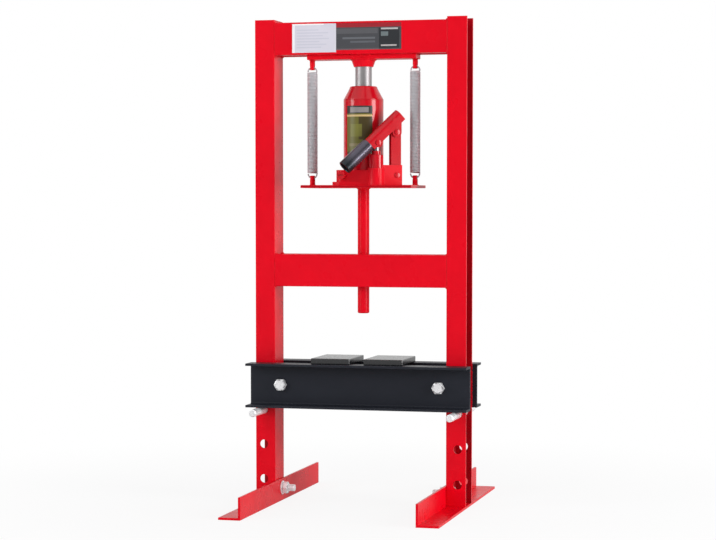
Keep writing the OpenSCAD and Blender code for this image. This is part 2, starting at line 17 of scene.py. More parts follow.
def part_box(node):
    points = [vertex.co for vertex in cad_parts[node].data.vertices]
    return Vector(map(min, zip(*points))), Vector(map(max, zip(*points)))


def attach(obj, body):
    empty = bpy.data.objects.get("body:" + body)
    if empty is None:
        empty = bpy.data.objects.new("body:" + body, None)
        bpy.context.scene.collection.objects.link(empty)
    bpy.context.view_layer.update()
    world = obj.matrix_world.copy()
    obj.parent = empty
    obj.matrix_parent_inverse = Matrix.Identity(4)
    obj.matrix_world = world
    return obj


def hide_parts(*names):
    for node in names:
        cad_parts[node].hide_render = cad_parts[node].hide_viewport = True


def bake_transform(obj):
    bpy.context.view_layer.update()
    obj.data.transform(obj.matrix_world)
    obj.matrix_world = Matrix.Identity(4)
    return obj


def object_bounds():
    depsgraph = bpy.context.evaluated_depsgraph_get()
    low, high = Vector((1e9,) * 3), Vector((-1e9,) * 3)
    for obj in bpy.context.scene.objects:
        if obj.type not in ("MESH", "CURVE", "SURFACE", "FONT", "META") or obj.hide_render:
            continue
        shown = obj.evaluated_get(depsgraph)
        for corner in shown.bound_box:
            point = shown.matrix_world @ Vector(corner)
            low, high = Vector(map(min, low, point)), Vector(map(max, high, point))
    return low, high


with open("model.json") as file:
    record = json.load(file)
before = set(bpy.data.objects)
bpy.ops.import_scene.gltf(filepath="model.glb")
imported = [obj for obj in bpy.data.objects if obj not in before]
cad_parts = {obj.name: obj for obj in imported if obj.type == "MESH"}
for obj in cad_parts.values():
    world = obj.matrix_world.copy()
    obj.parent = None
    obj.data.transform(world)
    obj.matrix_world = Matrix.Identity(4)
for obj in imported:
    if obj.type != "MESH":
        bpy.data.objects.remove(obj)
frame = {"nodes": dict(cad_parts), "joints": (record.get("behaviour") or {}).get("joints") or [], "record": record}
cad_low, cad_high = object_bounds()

record = frame["record"]
MM = 0.001
MICRON = MM * MM
print("CAD box in metres:", [round(c, 4) for c in (*cad_low, *cad_high)])

# %% [markdown]
# ## Who moves with what, and which finish each part wears
# The record says which body each part rides on and which finish it has. Both lists are turned into
# dictionaries, so that a new piece can take its body and its finish from the part it stands for.

# %% Bodies, finishes and joint axes
BODY_OF = {node: body for body, nodes in record["behaviour"]["bodies"].items() for node in nodes}
FINISH_OF = {part["node"]: part["material_slot"] for part in record["subparts"]}
AXIS_OF = {joint["name"]: Vector(joint["axis"]).normalized() for joint in frame["joints"]}
MOUNT = {mount["name"]: mount for mount in record["mounts"]}
print(len(BODY_OF), "parts on", len(set(BODY_OF.values())), "bodies in",
      len(set(FINISH_OF.values())), "finishes")


def middle(node):
    """The middle of a part's box."""
    low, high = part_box(node)
    return (low + high) / 2


def reach(node, axis):
    """How far a part's mesh reaches along an axis: (lowest, highest)."""
    along = [vertex.co.dot(axis) for vertex in frame["nodes"][node].data.vertices]
    return min(along), max(along)


# %% [markdown]
# ## The camera
# The press is seen from a little to the right of straight ahead and from just above its middle,
# with a long lens, which keeps the posts almost parallel. The camera is set first, so that each
# piece can be judged in the picture it is made for. A small vertical shift keeps the posts upright
# while the camera looks at the middle of the press.

# %% Camera at the viewing angle
CAMERA_TURN, CAMERA_TILT = math.radians(14.34), math.radians(3.37)
CAMERA_DISTANCE = 3.5964
CAMERA_TARGET = Vector((-0.00974, 0.0, 0.30867))
CAMERA_LENS, SENSOR_WIDTH, CAMERA_SHIFT = 105.73, 36.0, 0.0754

camera_data = bpy.data.cameras.new("press_camera")
camera_data.lens, camera_data.sensor_width = CAMERA_LENS, SENSOR_WIDTH
camera_data.shift_y = CAMERA_SHIFT
camera_data.clip_start, camera_data.clip_end = 0.1, 60.0
camera = bpy.data.objects.new("press_camera", camera_data)
bpy.context.scene.collection.objects.link(camera)
bpy.context.scene.camera = camera
backward = Vector((math.sin(CAMERA_TURN) * math.cos(CAMERA_TILT),
                   -math.cos(CAMERA_TURN) * math.cos(CAMERA_TILT), math.sin(CAMERA_TILT)))
camera.location = CAMERA_TARGET + backward * CAMERA_DISTANCE
camera.rotation_euler = (-backward).to_track_quat("-Z", "Y").to_euler()
print("camera at", [round(c, 3) for c in camera.location])

# %% [markdown]
# ## Node helpers
# Materials and Geometry Nodes are both trees of nodes with links between sockets. One helper adds
# a node and fills its sockets, with a value or with a link from another node. Another makes a
# named group with its sockets, so that an effect is built once and used in many finishes.

# %% Add a node, make a group
def put(tree, kind, inputs=None, **settings):
    """Adds a node. settings are its options; inputs fill its sockets with values or links."""
    node = tree.nodes.new(kind)
    for name, value in settings.items():
        setattr(node, name, value)
    for key, value in (inputs or {}).items():
        if isinstance(value, bpy.types.NodeSocket):
            tree.links.new(value, node.inputs[key])
        else:
            node.inputs[key].default_value = value
    return node


SOCKET = {"value": "NodeSocketFloat", "vector": "NodeSocketVector", "colour": "NodeSocketColor",
          "whole": "NodeSocketInt", "mesh": "NodeSocketGeometry", "object": "NodeSocketObject",
          "finish": "NodeSocketMaterial"}


def new_group(name, kind, takes, gives):
    """A node group with named sockets. takes is {name: (kind, default)}, gives is {name: kind}."""
    tree = bpy.data.node_groups.new(name, kind)
    for label, (sort, default) in takes.items():
        socket = tree.interface.new_socket(label, in_out="INPUT", socket_type=SOCKET[sort])
        if default is not None:
            socket.default_value = default
    for label, sort in gives.items():
        tree.interface.new_socket(label, in_out="OUTPUT", socket_type=SOCKET[sort])
    return tree, put(tree, "NodeGroupInput").outputs, put(tree, "NodeGroupOutput").inputs


# %% Nodes that are wanted again and again
def calc(tree, kind, first, second=0.0):
    """One Math node: kind is ADD, MULTIPLY, GREATER_THAN and so on."""
    return put(tree, "ShaderNodeMath", {0: first, 1: second}, operation=kind).outputs[0]


def ramp(tree, value, low, high, to_low=0.0, to_high=1.0, **settings):
    """Carries a value from the range low to high over to the range to_low to to_high."""
    return put(tree, "ShaderNodeMapRange", {
        "Value": value, "From Min": low, "From Max": high, "To Min": to_low, "To Max": to_high},
        **settings).outputs[0]


def noise(tree, where, scale, detail):
    """Soft noise with this many cells to a metre."""
    return put(tree, "ShaderNodeTexNoise",
               {"Vector": where, "Scale": scale, "Detail": detail}).outputs[0]


def mix(tree, share, first, second):
    """The first colour where share is 0, the second where it is 1."""
    return put(tree, "ShaderNodeMix", {0: share, 6: first, 7: second},
               data_type="RGBA").outputs[2]


def carried(tree, name):
    """A value that the mesh carries as an attribute. It is 0 on a mesh without it."""
    return put(tree, "ShaderNodeAttribute", attribute_name=name).outputs["Fac"]


def place_metres(tree):
    """Where on the piece a point is, in metres: every piece's object sits at the origin."""
    return put(tree, "ShaderNodeTexCoord").outputs["Object"]


# %% [markdown]
# ## Effects that several finishes share
# Sprayed paint is never quite flat. It flows into a faint orange peel about two millimetres
# across, and finer grain lies on that. Heights go into the bump in real metres, so the skin has
# the same scale on a post as on a pin. The paint's tone also drifts a little from place to place.
# Sharp edges, which the pieces mark with an attribute, take an edge colour: on the paints it is
# lighter, partly wear and partly a painted highlight, and on the zinc it is a darker painted shade.
# Faces inside the posts' channels and on the sides of the jack's plate carry a second attribute,
# and their colour is darkened there as painted shade.

# %% Group: paint skin
MOST_LOW, MOST_HIGH = 0.3, 0.7  # most of a noise's values lie between these
CLOUD_SCALE = 22.0


def skin_effect():
    """Heights in metres of the orange peel and the grain, and a cloud for the roughness."""
    tree, given, gives = new_group("paint_skin", "ShaderNodeTree", {
        "Peel size": ("value", 2.2 * MM), "Peel depth": ("value", 10 * MICRON),
        "Grain size": ("value", 0.4 * MM), "Grain depth": ("value", 1 * MICRON)},
        {"Height": "value", "Cloud": "value"})
    where = place_metres(tree)

    def swells(label, detail):
        scale = calc(tree, "DIVIDE", 1.0, given[label + " size"])
        return calc(tree, "MULTIPLY", noise(tree, where, scale, detail), given[label + " depth"])

    tree.links.new(calc(tree, "ADD", swells("Peel", 1.0), swells("Grain", 2.0)), gives["Height"])
    tree.links.new(noise(tree, where, CLOUD_SCALE, 3.0), gives["Cloud"])
    return tree


# %% Group: tone drift, edge colour and painted shade
DRIFT_SCALE, CHIP_SCALE = 16.0, 260.0
CHIP_FROM, CHIP_ALL = 0.42, 0.62


def tone_and_painted_light_effect():
    """A colour that drifts, loses part of its colour as painted shade on marked faces, and takes the edge colour
    on marked edges, partly wear and partly painted light.
    """
    tree, given, gives = new_group("tone_drift", "ShaderNodeTree", {
        "Colour": ("colour", (0.5, 0.5, 0.5, 1)), "Edge colour": ("colour", (0.6, 0.6, 0.6, 1)),
        "Drift": ("value", 0.06), "Edge": ("value", 0.5), "Nook": ("value", 0.0)},
        {"Colour": "colour"})
    where = place_metres(tree)
    swing = ramp(tree, noise(tree, where, DRIFT_SCALE, 4.0), MOST_LOW, MOST_HIGH, -1.0, 1.0)
    gain = calc(tree, "ADD", 1.0, calc(tree, "MULTIPLY", swing, given["Drift"]))
    # Painted shade: faces marked inside the channels and on the plate's sides lose part of their colour.
    shade_share = calc(tree, "MULTIPLY", carried(tree, "nook"), given["Nook"])
    gain = calc(tree, "MULTIPLY", gain, calc(tree, "SUBTRACT", 1.0, shade_share))
    toned = put(tree, "ShaderNodeVectorMath", {0: given["Colour"], "Scale": gain},
                operation="SCALE").outputs[0]
    # Edge colour on marked edges: partly wear; on the paints also a painted highlight, on the zinc a painted
    # shade.
    patchy = ramp(tree, noise(tree, where, CHIP_SCALE, 3.0), CHIP_FROM, CHIP_ALL)
    rub_and_light = calc(tree, "MULTIPLY", carried(tree, "rub_and_painted_light"), patchy)
    wear_and_light = calc(tree, "MULTIPLY", rub_and_light, given["Edge"])
    tree.links.new(mix(tree, wear_and_light, toned, given["Edge colour"]), gives["Colour"])
    return tree


# %% [markdown]
# Ground, drawn and turned steel shows fine lines that follow the tool. They are noise stretched
# along the direction of the cut: the group takes how many lines there are to a metre along each
# axis, so one group serves a ram that was honed round and round and a pin that was drawn
# lengthwise.

# %% Group: tool lines
def lines_effect():
    """Heights in metres of the tool's lines, and their tone for the roughness."""
    tree, given, gives = new_group("tool_lines", "ShaderNodeTree", {
        "Lines a metre": ("vector", (200.0, 200.0, 6000.0)), "Depth": ("value", 2 * MICRON)},
        {"Height": "value", "Tone": "value"})
    stretched = put(tree, "ShaderNodeVectorMath",
                    {0: place_metres(tree), 1: given["Lines a metre"]},
                    operation="MULTIPLY").outputs[0]
    tone = noise(tree, stretched, 1.0, 3.0)
    tree.links.new(calc(tree, "MULTIPLY", tone, given["Depth"]), gives["Height"])
    tree.links.new(tone, gives["Tone"])
    return tree


EFFECT = {"skin": skin_effect(), "drift": tone_and_painted_light_effect(), "lines": lines_effect()}
print("shared effects:", ", ".join(tree.name for tree in EFFECT.values()))

# %% [markdown]
# ## A finish and how it is built
# Each finish is a Principled BSDF fed by the shared effects. Numbers that are the same all over
# the surface are set on the shader's own sockets. Only the colour, the roughness and the bump
# change from place to place, so only those are linked.

# %% Start a finish
FINISH = {}


def start_finish(name, metallic, specular):
    """A new material with the two numbers that are the same all over: its tree and its shader."""
    material = bpy.data.materials.new(name)
    material.use_nodes = True
    tree = material.node_tree
    shader = tree.nodes["Principled BSDF"]
    shader.inputs["Metallic"].default_value = metallic
    shader.inputs["Specular IOR Level"].default_value = specular
    FINISH[name] = material
    return tree, shader


def effect(tree, name, inputs):
    """Places a shared effect in a material, with this finish's own values."""
    return put(tree, "ShaderNodeGroup", inputs, node_tree=EFFECT[name]).outputs


def surface(tree, shader, colour, height, uneven, rough):
    """Links a colour, a bump from real heights in metres, and a roughness. The roughness runs over
    the range rough as the uneven value runs over its middle range."""
    tree.links.new(colour, shader.inputs["Base Color"])
    tree.links.new(ramp(tree, uneven, MOST_LOW, MOST_HIGH, *rough), shader.inputs["Roughness"])
    bump = put(tree, "ShaderNodeBump", {"Strength": 1.0, "Distance": 1.0, "Height": height})
    tree.links.new(bump.outputs[0], shader.inputs["Normal"])


# %% [markdown]
# ## Paints
# The frame is powder coated: a thick gloss film with a soft orange peel. The jack's tube, link and
# lever wear a glossier sprayed enamel, and its base is the same red over a sandy casting. The bed
# is a satin blue-black powder coat. One function makes all of them, because they are the same
# thing with other numbers: a coloured film with an uneven skin that is thinnest on its edges.

# %% The painted finishes
PAINTS = {
    # name: (colour, edge colour, roughness range,
    #        peel size in mm and depth in microns, the same for the grain, specular)
    # The paints' lighter edge colours are partly wear and partly a painted highlight.
    "red_enamel": ((0.75, 0.002, 0.013), (0.82, 0.04, 0.045), (0.24, 0.36),
                   (2.4, 9.0), (0.45, 0.8), 0.11),
    "red_jack_enamel": ((0.56, 0.003, 0.012), (0.80, 0.05, 0.05), (0.13, 0.20),
                        (3.0, 7.0), (0.6, 0.5), 0.45),
    "red_cast_enamel": ((0.72, 0.003, 0.014), (0.74, 0.04, 0.04), (0.26, 0.42),
                        (1.6, 55.0), (0.5, 14.0), 0.15),
    "black_enamel": ((0.0165, 0.0185, 0.026), (0.07, 0.072, 0.08), (0.36, 0.5),
                     (1.2, 8.0), (0.3, 2.5), 0.18),
}
# The last number darkens the marked faces in the channels and on the plate's sides as painted shade.
PAINT_DRIFT, PAINT_EDGE_WEAR_AND_SHEEN, PAINTED_SHADE_DEPTH = 0.05, 0.35, 0.5


def painted(name):
    """One paint from the table."""
    colour, edge_colour, rough, peel, grain, specular = PAINTS[name]
    tree, shader = start_finish(name, 0.0, specular)
    toned = effect(tree, "drift", {
        "Colour": (*colour, 1), "Edge colour": (*edge_colour, 1), "Drift": PAINT_DRIFT,
        "Edge": PAINT_EDGE_WEAR_AND_SHEEN, "Nook": PAINTED_SHADE_DEPTH})
    skin = effect(tree, "skin", {"Peel size": peel[0] * MM, "Peel depth": peel[1] * MICRON,
                                 "Grain size": grain[0] * MM, "Grain depth": grain[1] * MICRON})
    surface(tree, shader, toned["Colour"], skin["Height"], skin["Cloud"], rough)


for name in PAINTS:
    painted(name)
print("painted finishes:", ", ".join(PAINTS))

# %% [markdown]
# ## Bare and plated metals
# Zinc plate is bright and slightly clouded. The pump's plunger and the balls are ground steel. The
# springs are drawn wire with lines along their length. The ram is hard chrome over a honed bar, so
# its lines run round it, and they blur what it mirrors. The press plates are black steel with a
# smooth rolled skin that shines. Again one function makes them all from a table of numbers.

# %% The metal finishes
METALS = {
    # name: (colour, edge colour, metallic, specular,
    #        roughness range, lines a metre, line depth in microns)
    # zinc's dark edge colour is painted shade on the chamfer cone of each head and nut
    "zinc_plate": ((0.93, 0.935, 0.95), (0.10, 0.105, 0.12), 0.38, 0.5,
                   (0.24, 0.38), (900, 900, 900), 1.5),
    "bright_steel": ((0.30, 0.30, 0.31), (0.6, 0.6, 0.6), 0.9, 0.5,
                     (0.24, 0.36), (300, 300, 5000), 1.0),
    "spring_steel": ((0.55, 0.56, 0.585), (0.7, 0.7, 0.7), 0.3, 0.5,
                     (0.42, 0.56), (1500, 1500, 400), 1.5),
    "chrome_ram": ((0.36, 0.35, 0.355), (0.6, 0.6, 0.6), 0.9, 0.5,
                   (0.44, 0.52), (60, 60, 7000), 0.25),
    "black_plate": ((0.012, 0.0125, 0.0145), (0.05, 0.05, 0.055), 0.0, 0.9,
                    (0.16, 0.26), (500, 60, 500), 3.0),
}
METAL_DRIFT, METAL_EDGE_WEAR_AND_SHADE = 0.07, 0.8


def metal(name):
    """One metal from the table."""
    colour, edge_colour, metallic, specular, rough, lines, depth = METALS[name]
    tree, shader = start_finish(name, metallic, specular)
    toned = effect(tree, "drift", {"Colour": (*colour, 1), "Edge colour": (*edge_colour, 1),
                                   "Drift": METAL_DRIFT, "Edge": METAL_EDGE_WEAR_AND_SHADE})
    cut = effect(tree, "lines", {"Lines a metre": lines, "Depth": depth * MICRON})
    surface(tree, shader, toned["Colour"], cut["Height"], cut["Tone"], rough)


for name in METALS:
    metal(name)
print("metal finishes:", ", ".join(METALS))

# %% [markdown]
# ## Sleeve and rubber
# The lever's sleeve is blued steel, a dark slate colour with a soft shine. Its colour is darker
# toward its mouth: the dot product of a place with the sleeve's own axis says how far from the
# mouth it is. The seals and the filler plug are matt black rubber with a fine tooth.

# %% Slate sleeve
SLATE, DARK_MOUTH = (0.11, 0.10, 0.13, 1), (0.026, 0.031, 0.037, 1)
DARK_FROM, DARK_ALL = 26 * MM, 4 * MM
SLEEVE_ROUGH = (0.18, 0.28)
SLEEVE_AXIS = Vector(MOUNT["handle_socket"]["axis"]).normalized()
sleeve_back, sleeve_mouth = reach("handle_sleeve", SLEEVE_AXIS)

tree, shader = start_finish("slate_sleeve", 0.7, 0.6)
along = put(tree, "ShaderNodeVectorMath", {0: place_metres(tree), 1: SLEEVE_AXIS},
            operation="DOT_PRODUCT").outputs["Value"]
# The colour goes darker toward the sleeve's mouth.
darkening = ramp(tree, along, sleeve_mouth - DARK_FROM, sleeve_mouth - DARK_ALL,
             interpolation_type="SMOOTHSTEP")
toned = effect(tree, "drift", {"Colour": mix(tree, darkening, SLATE, DARK_MOUTH), "Edge": 0.6, "Drift": 0.1,
                               "Edge colour": (0.28, 0.29, 0.33, 1)})
skin = effect(tree, "skin", {"Peel size": 1.6 * MM, "Peel depth": 6 * MICRON})
surface(tree, shader, toned["Colour"], skin["Height"], skin["Cloud"], SLEEVE_ROUGH)
print("sleeve is", round((sleeve_mouth - sleeve_back) / MM, 1), "mm long, oiled over the last",
      round(DARK_FROM / MM), "mm")

# %% Rubber
RUBBER_ROUGH = (0.6, 0.8)
tree, shader = start_finish("seal_rubber", 0.0, 0.35)
toned = effect(tree, "drift", {"Colour": (0.022, 0.022, 0.022, 1), "Drift": 0.15,
                               "Edge colour": (0.05, 0.05, 0.05, 1)})
skin = effect(tree, "skin", {"Peel size": 0.9 * MM, "Peel depth": 20 * MICRON,
                             "Grain size": 0.2 * MM, "Grain depth": 6 * MICRON})
surface(tree, shader, toned["Colour"], skin["Height"], skin["Cloud"], RUBBER_ROUGH)
print("rubber finish: seal_rubber, roughness", *RUBBER_ROUGH)

# %% [markdown]
# ## Labels
# The labels are thin vinyl. They carry no words here, only plain fields of colour laid out with
# straight sides. Each layout is a list of fields in shares of the label's width and height, so
# that it follows the label wherever the frame says the label is. The jack's label is wrapped round
# the reservoir, so its width is measured as an angle round the reservoir's axis.

# %% Group: a printed field with straight sides
def field_effect():
    """1 inside the field's four sides, 0 outside."""
    tree, given, gives = new_group("printed_field", "ShaderNodeTree", {
        "Across": ("value", 0.0), "Up": ("value", 0.0), "Left": ("value", 0.0),
        "Right": ("value", 1.0), "Low": ("value", 0.0), "High": ("value", 1.0)}, {"Mask": "value"})
    inside = None
    for along, first, last in (("Across", "Left", "Right"), ("Up", "Low", "High")):
        for test, limit in (("GREATER_THAN", first), ("LESS_THAN", last)):
            step = calc(tree, test, given[along], given[limit])
            inside = step if inside is None else calc(tree, "MULTIPLY", inside, step)
    tree.links.new(inside, gives["Mask"])
    return tree


EFFECT["field"] = field_effect()

# %% Lay out fields of colour on a label
VINYL_ROUGH, VINYL_DRIFT = (0.32, 0.42), 0.04


def share_along(tree, value, low, high):
    """Turns a coordinate into a share, from 0 at low to 1 at high."""
    return ramp(tree, value, low, high, clamp=False)


def label_finish(name, node, ground, fields, across=None):
    """Fields are (left, right, low, high, colour, strength), in shares of the label's box.
    across(tree, place) gives the share across. Without it, that is measured along x."""
    tree, shader = start_finish(name, 0.0, 0.35)
    low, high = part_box(node)
    place = put(tree, "ShaderNodeSeparateXYZ", {0: place_metres(tree)}).outputs
    share_x = across(tree, place) if across else share_along(tree, place["X"], low.x, high.x)
    share_z = share_along(tree, place["Z"], low.z, high.z)
    colour = effect(tree, "drift", {"Colour": (*ground, 1), "Drift": VINYL_DRIFT,
                                    "Edge": 0.0})["Colour"]
    for left, right, low, high, ink, strength in fields:
        mask = effect(tree, "field", {"Across": share_x, "Up": share_z, "Left": left,
                                      "Right": right, "Low": low, "High": high})["Mask"]
        colour = mix(tree, calc(tree, "MULTIPLY", mask, strength), colour, (*ink, 1))
    skin = effect(tree, "skin", {"Peel size": 4 * MM, "Peel depth": 8 * MICRON,
                                 "Grain size": 0.3 * MM, "Grain depth": 0.6 * MICRON})
    surface(tree, shader, colour, skin["Height"], skin["Cloud"], VINYL_ROUGH)
    print(name, "has", len(fields), "plain fields")


# %% The two labels on the top beam
PALE_GROUND, PALE_MARK = (0.665, 0.652, 0.735), (0.44, 0.46, 0.56)
pale_fields = [(0.0, 0.72, 0.955, 1.0, (0.93, 0.93, 0.93), 1.0),
               (0.0, 0.06, 0.0, 1.0, (0.90, 0.90, 0.94), 0.8)]
pale_fields += [(0.10, right, low, low + 0.045, PALE_MARK, 0.35)
                for low, right in ((0.76, 0.60), (0.66, 0.82), (0.56, 0.70), (0.46, 0.84),
                                   (0.36, 0.62), (0.26, 0.78), (0.16, 0.66))]
label_finish("pale_vinyl", "pale_label", PALE_GROUND, pale_fields)

CHARCOAL, BAND_RED, PATCH = (0.060, 0.062, 0.070), (0.33, 0.012, 0.022), (0.022, 0.024, 0.028)
dark_fields = [(0.0, 1.0, 0.84, 1.0, BAND_RED, 1.0),
               (0.0, 0.66, 0.0, 0.05, (0.13, 0.10, 0.11), 1.0),
               (0.0, 0.64, 0.60, 0.80, (0.10, 0.10, 0.11), 0.8),
               (0.10, 0.60, 0.40, 0.47, (0.17, 0.18, 0.20), 0.6),
               (0.22, 0.60, 0.26, 0.33, (0.14, 0.15, 0.17), 0.6),
               (0.66, 0.97, 0.05, 0.80, PATCH, 1.0),
               (0.69, 0.95, 0.74, 0.80, (0.52, 0.52, 0.52), 0.9),
               (0.69, 0.80, 0.50, 0.66, (0.16, 0.20, 0.21), 0.9),
               (0.69, 0.93, 0.12, 0.18, (0.48, 0.44, 0.44), 0.9)]
label_finish("charcoal_vinyl", "dark_label", CHARCOAL, dark_fields)

# %% The label wrapped round the jack
LABEL_HALF_ANGLE = math.radians(40)


def turn_share(tree, place):
    """Share across the wrapped label, from the angle round the reservoir's upright axis."""
    axis = middle("reservoir")
    east = calc(tree, "SUBTRACT", place["X"], axis.x)
    front = calc(tree, "SUBTRACT", axis.y, place["Y"])
    angle = calc(tree, "ARCTAN2", east, front)
    return share_along(tree, angle, -LABEL_HALF_ANGLE, LABEL_HALF_ANGLE)


OLIVE = (0.135, 0.125, 0.022)
jack_fields = [(0.0, 1.0, 0.84, 1.0, (0.030, 0.028, 0.026), 1.0),
               (0.16, 0.86, 0.86, 0.97, (0.27, 0.25, 0.25), 0.9),
               (0.0, 1.0, 0.775, 0.815, (0.62, 0.45, 0.20), 0.95),
               (0.50, 1.0, 0.30, 0.775, (0.036, 0.020, 0.007), 0.8),
               (0.18, 0.62, 0.36, 0.62, (0.20, 0.20, 0.035), 0.7),
               (0.12, 0.60, 0.16, 0.22, (0.30, 0.24, 0.14), 0.55),
               (0.0, 1.0, 0.0, 0.05, (0.05, 0.045, 0.02), 0.9)]
label_finish("olive_vinyl", "jack_label", OLIVE, jack_fields, turn_share)
print(len(FINISH), "finishes for", len(record["materials"]), "slots in the record")

# %% [markdown]
# ## Put a finish on every measured part
# The parts loaded from the frame already have the right shape, so each simply gets its finish in
# its material slot. Parts that deserve finer geometry are stood in for further down.

# %% Dress the measured parts
for node, piece in frame["nodes"].items():
    for slot in piece.material_slots:
        slot.material = FINISH[FINISH_OF[node]]
print("dressed", len(frame["nodes"]), "measured parts")

# %% [markdown]
# ## Real edges
# A sawn or pressed edge is never a knife edge, and it is the thin line of light on it that tells
# the eye what a part is made of. Each plain part is copied, its triangles are merged back into
# flat faces, and every sharp edge gets a small round. The faces of that round carry the edge mark,
# whose colour is partly wear and partly painted light, and weighted normals keep the flats flat.

# %% Turn a mesh into a finished piece
SMOOTH_UNDER = math.radians(40)


def plain_mesh(piece):
    """Replaces a piece's modifiers by their result."""
    graph = bpy.context.evaluated_depsgraph_get()
    result = bpy.data.meshes.new_from_object(piece.evaluated_get(graph),
                                             preserve_all_data_layers=True, depsgraph=graph)
    piece.modifiers.clear()
    piece.data = result
    return piece


def settle(piece):
    """Smooth shading with weighted normals, applied, so that the piece is a plain mesh."""
    piece.data.shade_smooth()
    piece.data.set_sharp_from_angle(angle=SMOOTH_UNDER)
    weighting = piece.modifiers.new("weighting", "WEIGHTED_NORMAL")
    weighting.keep_sharp = True
    return plain_mesh(piece)


def piece_from(bm, name):
    """A linked object from a bmesh, at the origin."""
    mesh = bpy.data.meshes.new(name)
    bm.to_mesh(mesh)
    bm.free()
    piece = bpy.data.objects.new(name, mesh)
    bpy.context.scene.collection.objects.link(piece)
    return piece


def stand_in(piece, node=None, body=None, finish=None):
    """The piece takes the finish and the body of the measured part that it stands for. A piece that
    stands for none is given both."""
    finish = finish or FINISH_OF[node]
    piece.data.materials.clear()
    piece.data.materials.append(FINISH[finish])
    if node:
        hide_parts(node)
    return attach(piece, body or BODY_OF[node])


# %% [markdown]
# The walls inside a post's channel and the sides of the jack's plate are darkened as painted
# shade. Two tests pick those faces out by where they lie and which way they point, and the picked
# faces carry an attribute with a share from 0 to 1.

# %% Where shade is painted on
FLANGE_SKIN, PLATE_SIDE_SHADE, STEEP_UNDER = 3 * MM, 0.8, 0.5


def inside_channel(node, side):
    """A test for faces inside an upright channel that opens to the given side in x."""
    low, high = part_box(node)
    back = low.x if side > 0 else high.x

    def share(face):
        spot = face.calc_center_median()
        clear = min(spot.y - low.y, high.y - spot.y, abs(spot.x - back))
        return float(clear > FLANGE_SKIN and abs(face.normal.z) < STEEP_UNDER)
    return share


def plate_sides(face):
    """A test for the sides of a flat plate."""
    return PLATE_SIDE_SHADE * (abs(face.normal.z) < STEEP_UNDER)


# These faces get painted shade: their colour is darkened.
PAINTED_SHADE_TESTS = {"left_post": inside_channel("left_post", -1),
          "right_post": inside_channel("right_post", 1), "jack_base_plate": plate_sides}


def mark_painted_shade(bm, shade_test):
    """Marks each face with the share of painted shade that the test gives. Returns how many it marked."""
    nook = bm.loops.layers.float.new("nook")
    marked = 0
    for face in bm.faces:
        share = shade_test(face)
        marked += share > 0
        for loop in face.loops:
            loop[nook] = share
    return marked


# %% Round the edges of a measured part
FLAT_WITHIN, SHARP_OVER, SAME_PLACE = math.radians(0.3), math.radians(28), 2 * MICRON


def merged(node):
    """A bmesh of a measured part, its triangles merged back into flat faces."""
    bm = bmesh.new()
    bm.from_mesh(frame["nodes"][node].data)
    bmesh.ops.remove_doubles(bm, verts=bm.verts, dist=SAME_PLACE)
    bmesh.ops.dissolve_limit(bm, angle_limit=FLAT_WITHIN, verts=bm.verts, edges=bm.edges)
    return bm


def round_edges(bm, radius, steps=2):
    """Rounds the sharp edges and marks the new faces for the edge colour, partly wear and partly painted light."""
    sharp = [edge for edge in bm.edges
             if len(edge.link_faces) == 2 and edge.calc_face_angle(0.0) > SHARP_OVER]
    made = bmesh.ops.bevel(bm, geom=sharp, offset=radius, offset_type="OFFSET", segments=steps,
                           profile=0.5, affect="EDGES", clamp_overlap=True)
    rub_and_painted_light = bm.loops.layers.float.new("rub_and_painted_light")
    for face in made["faces"]:
        for loop in face.loops:
            loop[rub_and_painted_light] = 1.0
    return len(sharp)


def eased(node, radius):
    """A measured part with its edges rounded to a radius in millimetres, as a finished piece."""
    bm = merged(node)
    count = round_edges(bm, radius * MM)
    # Faces inside the channels and on the plate's sides get painted shade.
    if node in PAINTED_SHADE_TESTS:
        print(node, "has", mark_painted_shade(bm, PAINTED_SHADE_TESTS[node]), "faces with painted shade")
    piece = settle(piece_from(bm, node + "_finished"))
    print(f"{node}: {count} edges rounded to {radius} mm, {len(piece.data.polygons)} faces")
    return stand_in(piece, node)


# %% [markdown]
# ## Posts, beams, feet and bed
# The posts and beams are rolled channel and the feet are angle iron, so their flange tips and sawn
# ends are nearly sharp under the paint. Seven tenths of a millimetre is about what a thick powder
# coat leaves. The bed's channels are the same, and the plates' chamfered edges get a smaller
# round.

# %% The rolled and sawn steel
ROLLED_ROUNDS = {
    "left_post": 0.7, "right_post": 0.7, "left_foot": 0.7, "right_foot": 0.7,
    "top_beam_front": 0.6, "top_beam_rear": 0.6, "mid_beam_front": 0.6, "mid_beam_rear": 0.6,
    "bed_channel_front": 0.7, "bed_channel_rear": 0.7, "spring_bar": 0.35,
    "jack_base_plate": 0.35, "press_plate_left": 0.4, "press_plate_right": 0.4}
for node, radius in ROLLED_ROUNDS.items():
    eased(node, radius)

# %% [markdown]
# The jack's base is a casting with soft corners, and the link, the yoke and the plunger are
# pressed or milled. They are rounded in the same way with their own radii.

# %% The jack's castings and pressings
MILLED_ROUNDS = {
    "jack_base": 0.9, "pump_link": 0.8, "lever_yoke": 0.5, "pump_plunger": 0.3,
    "release_valve": 0.5, "upper_spring_studs": 0.4, "lower_spring_studs": 0.4}
for node, radius in MILLED_ROUNDS.items():
    eased(node, radius)

# %% [markdown]
# ## Turned parts
# Rods, tubes, caps and pins are turned on a lathe, so they are made the same way here: an outline
# of radius and height is swept round an axis. Corners of the outline are eased first, with a small
# arc in place of each, because a turned edge always has its burr taken off.

# %% Ease the corners of an outline
ARC_POINTS, STRAIGHT_UNDER, MOST_OF_A_SIDE = 5, math.radians(8), 0.45


def bend(start, corner, end, shares):
    """Points on a smooth bend from start to end that leans toward a corner."""
    return [start * (1 - t) ** 2 + corner * 2 * t * (1 - t) + end * t ** 2 for t in shares]


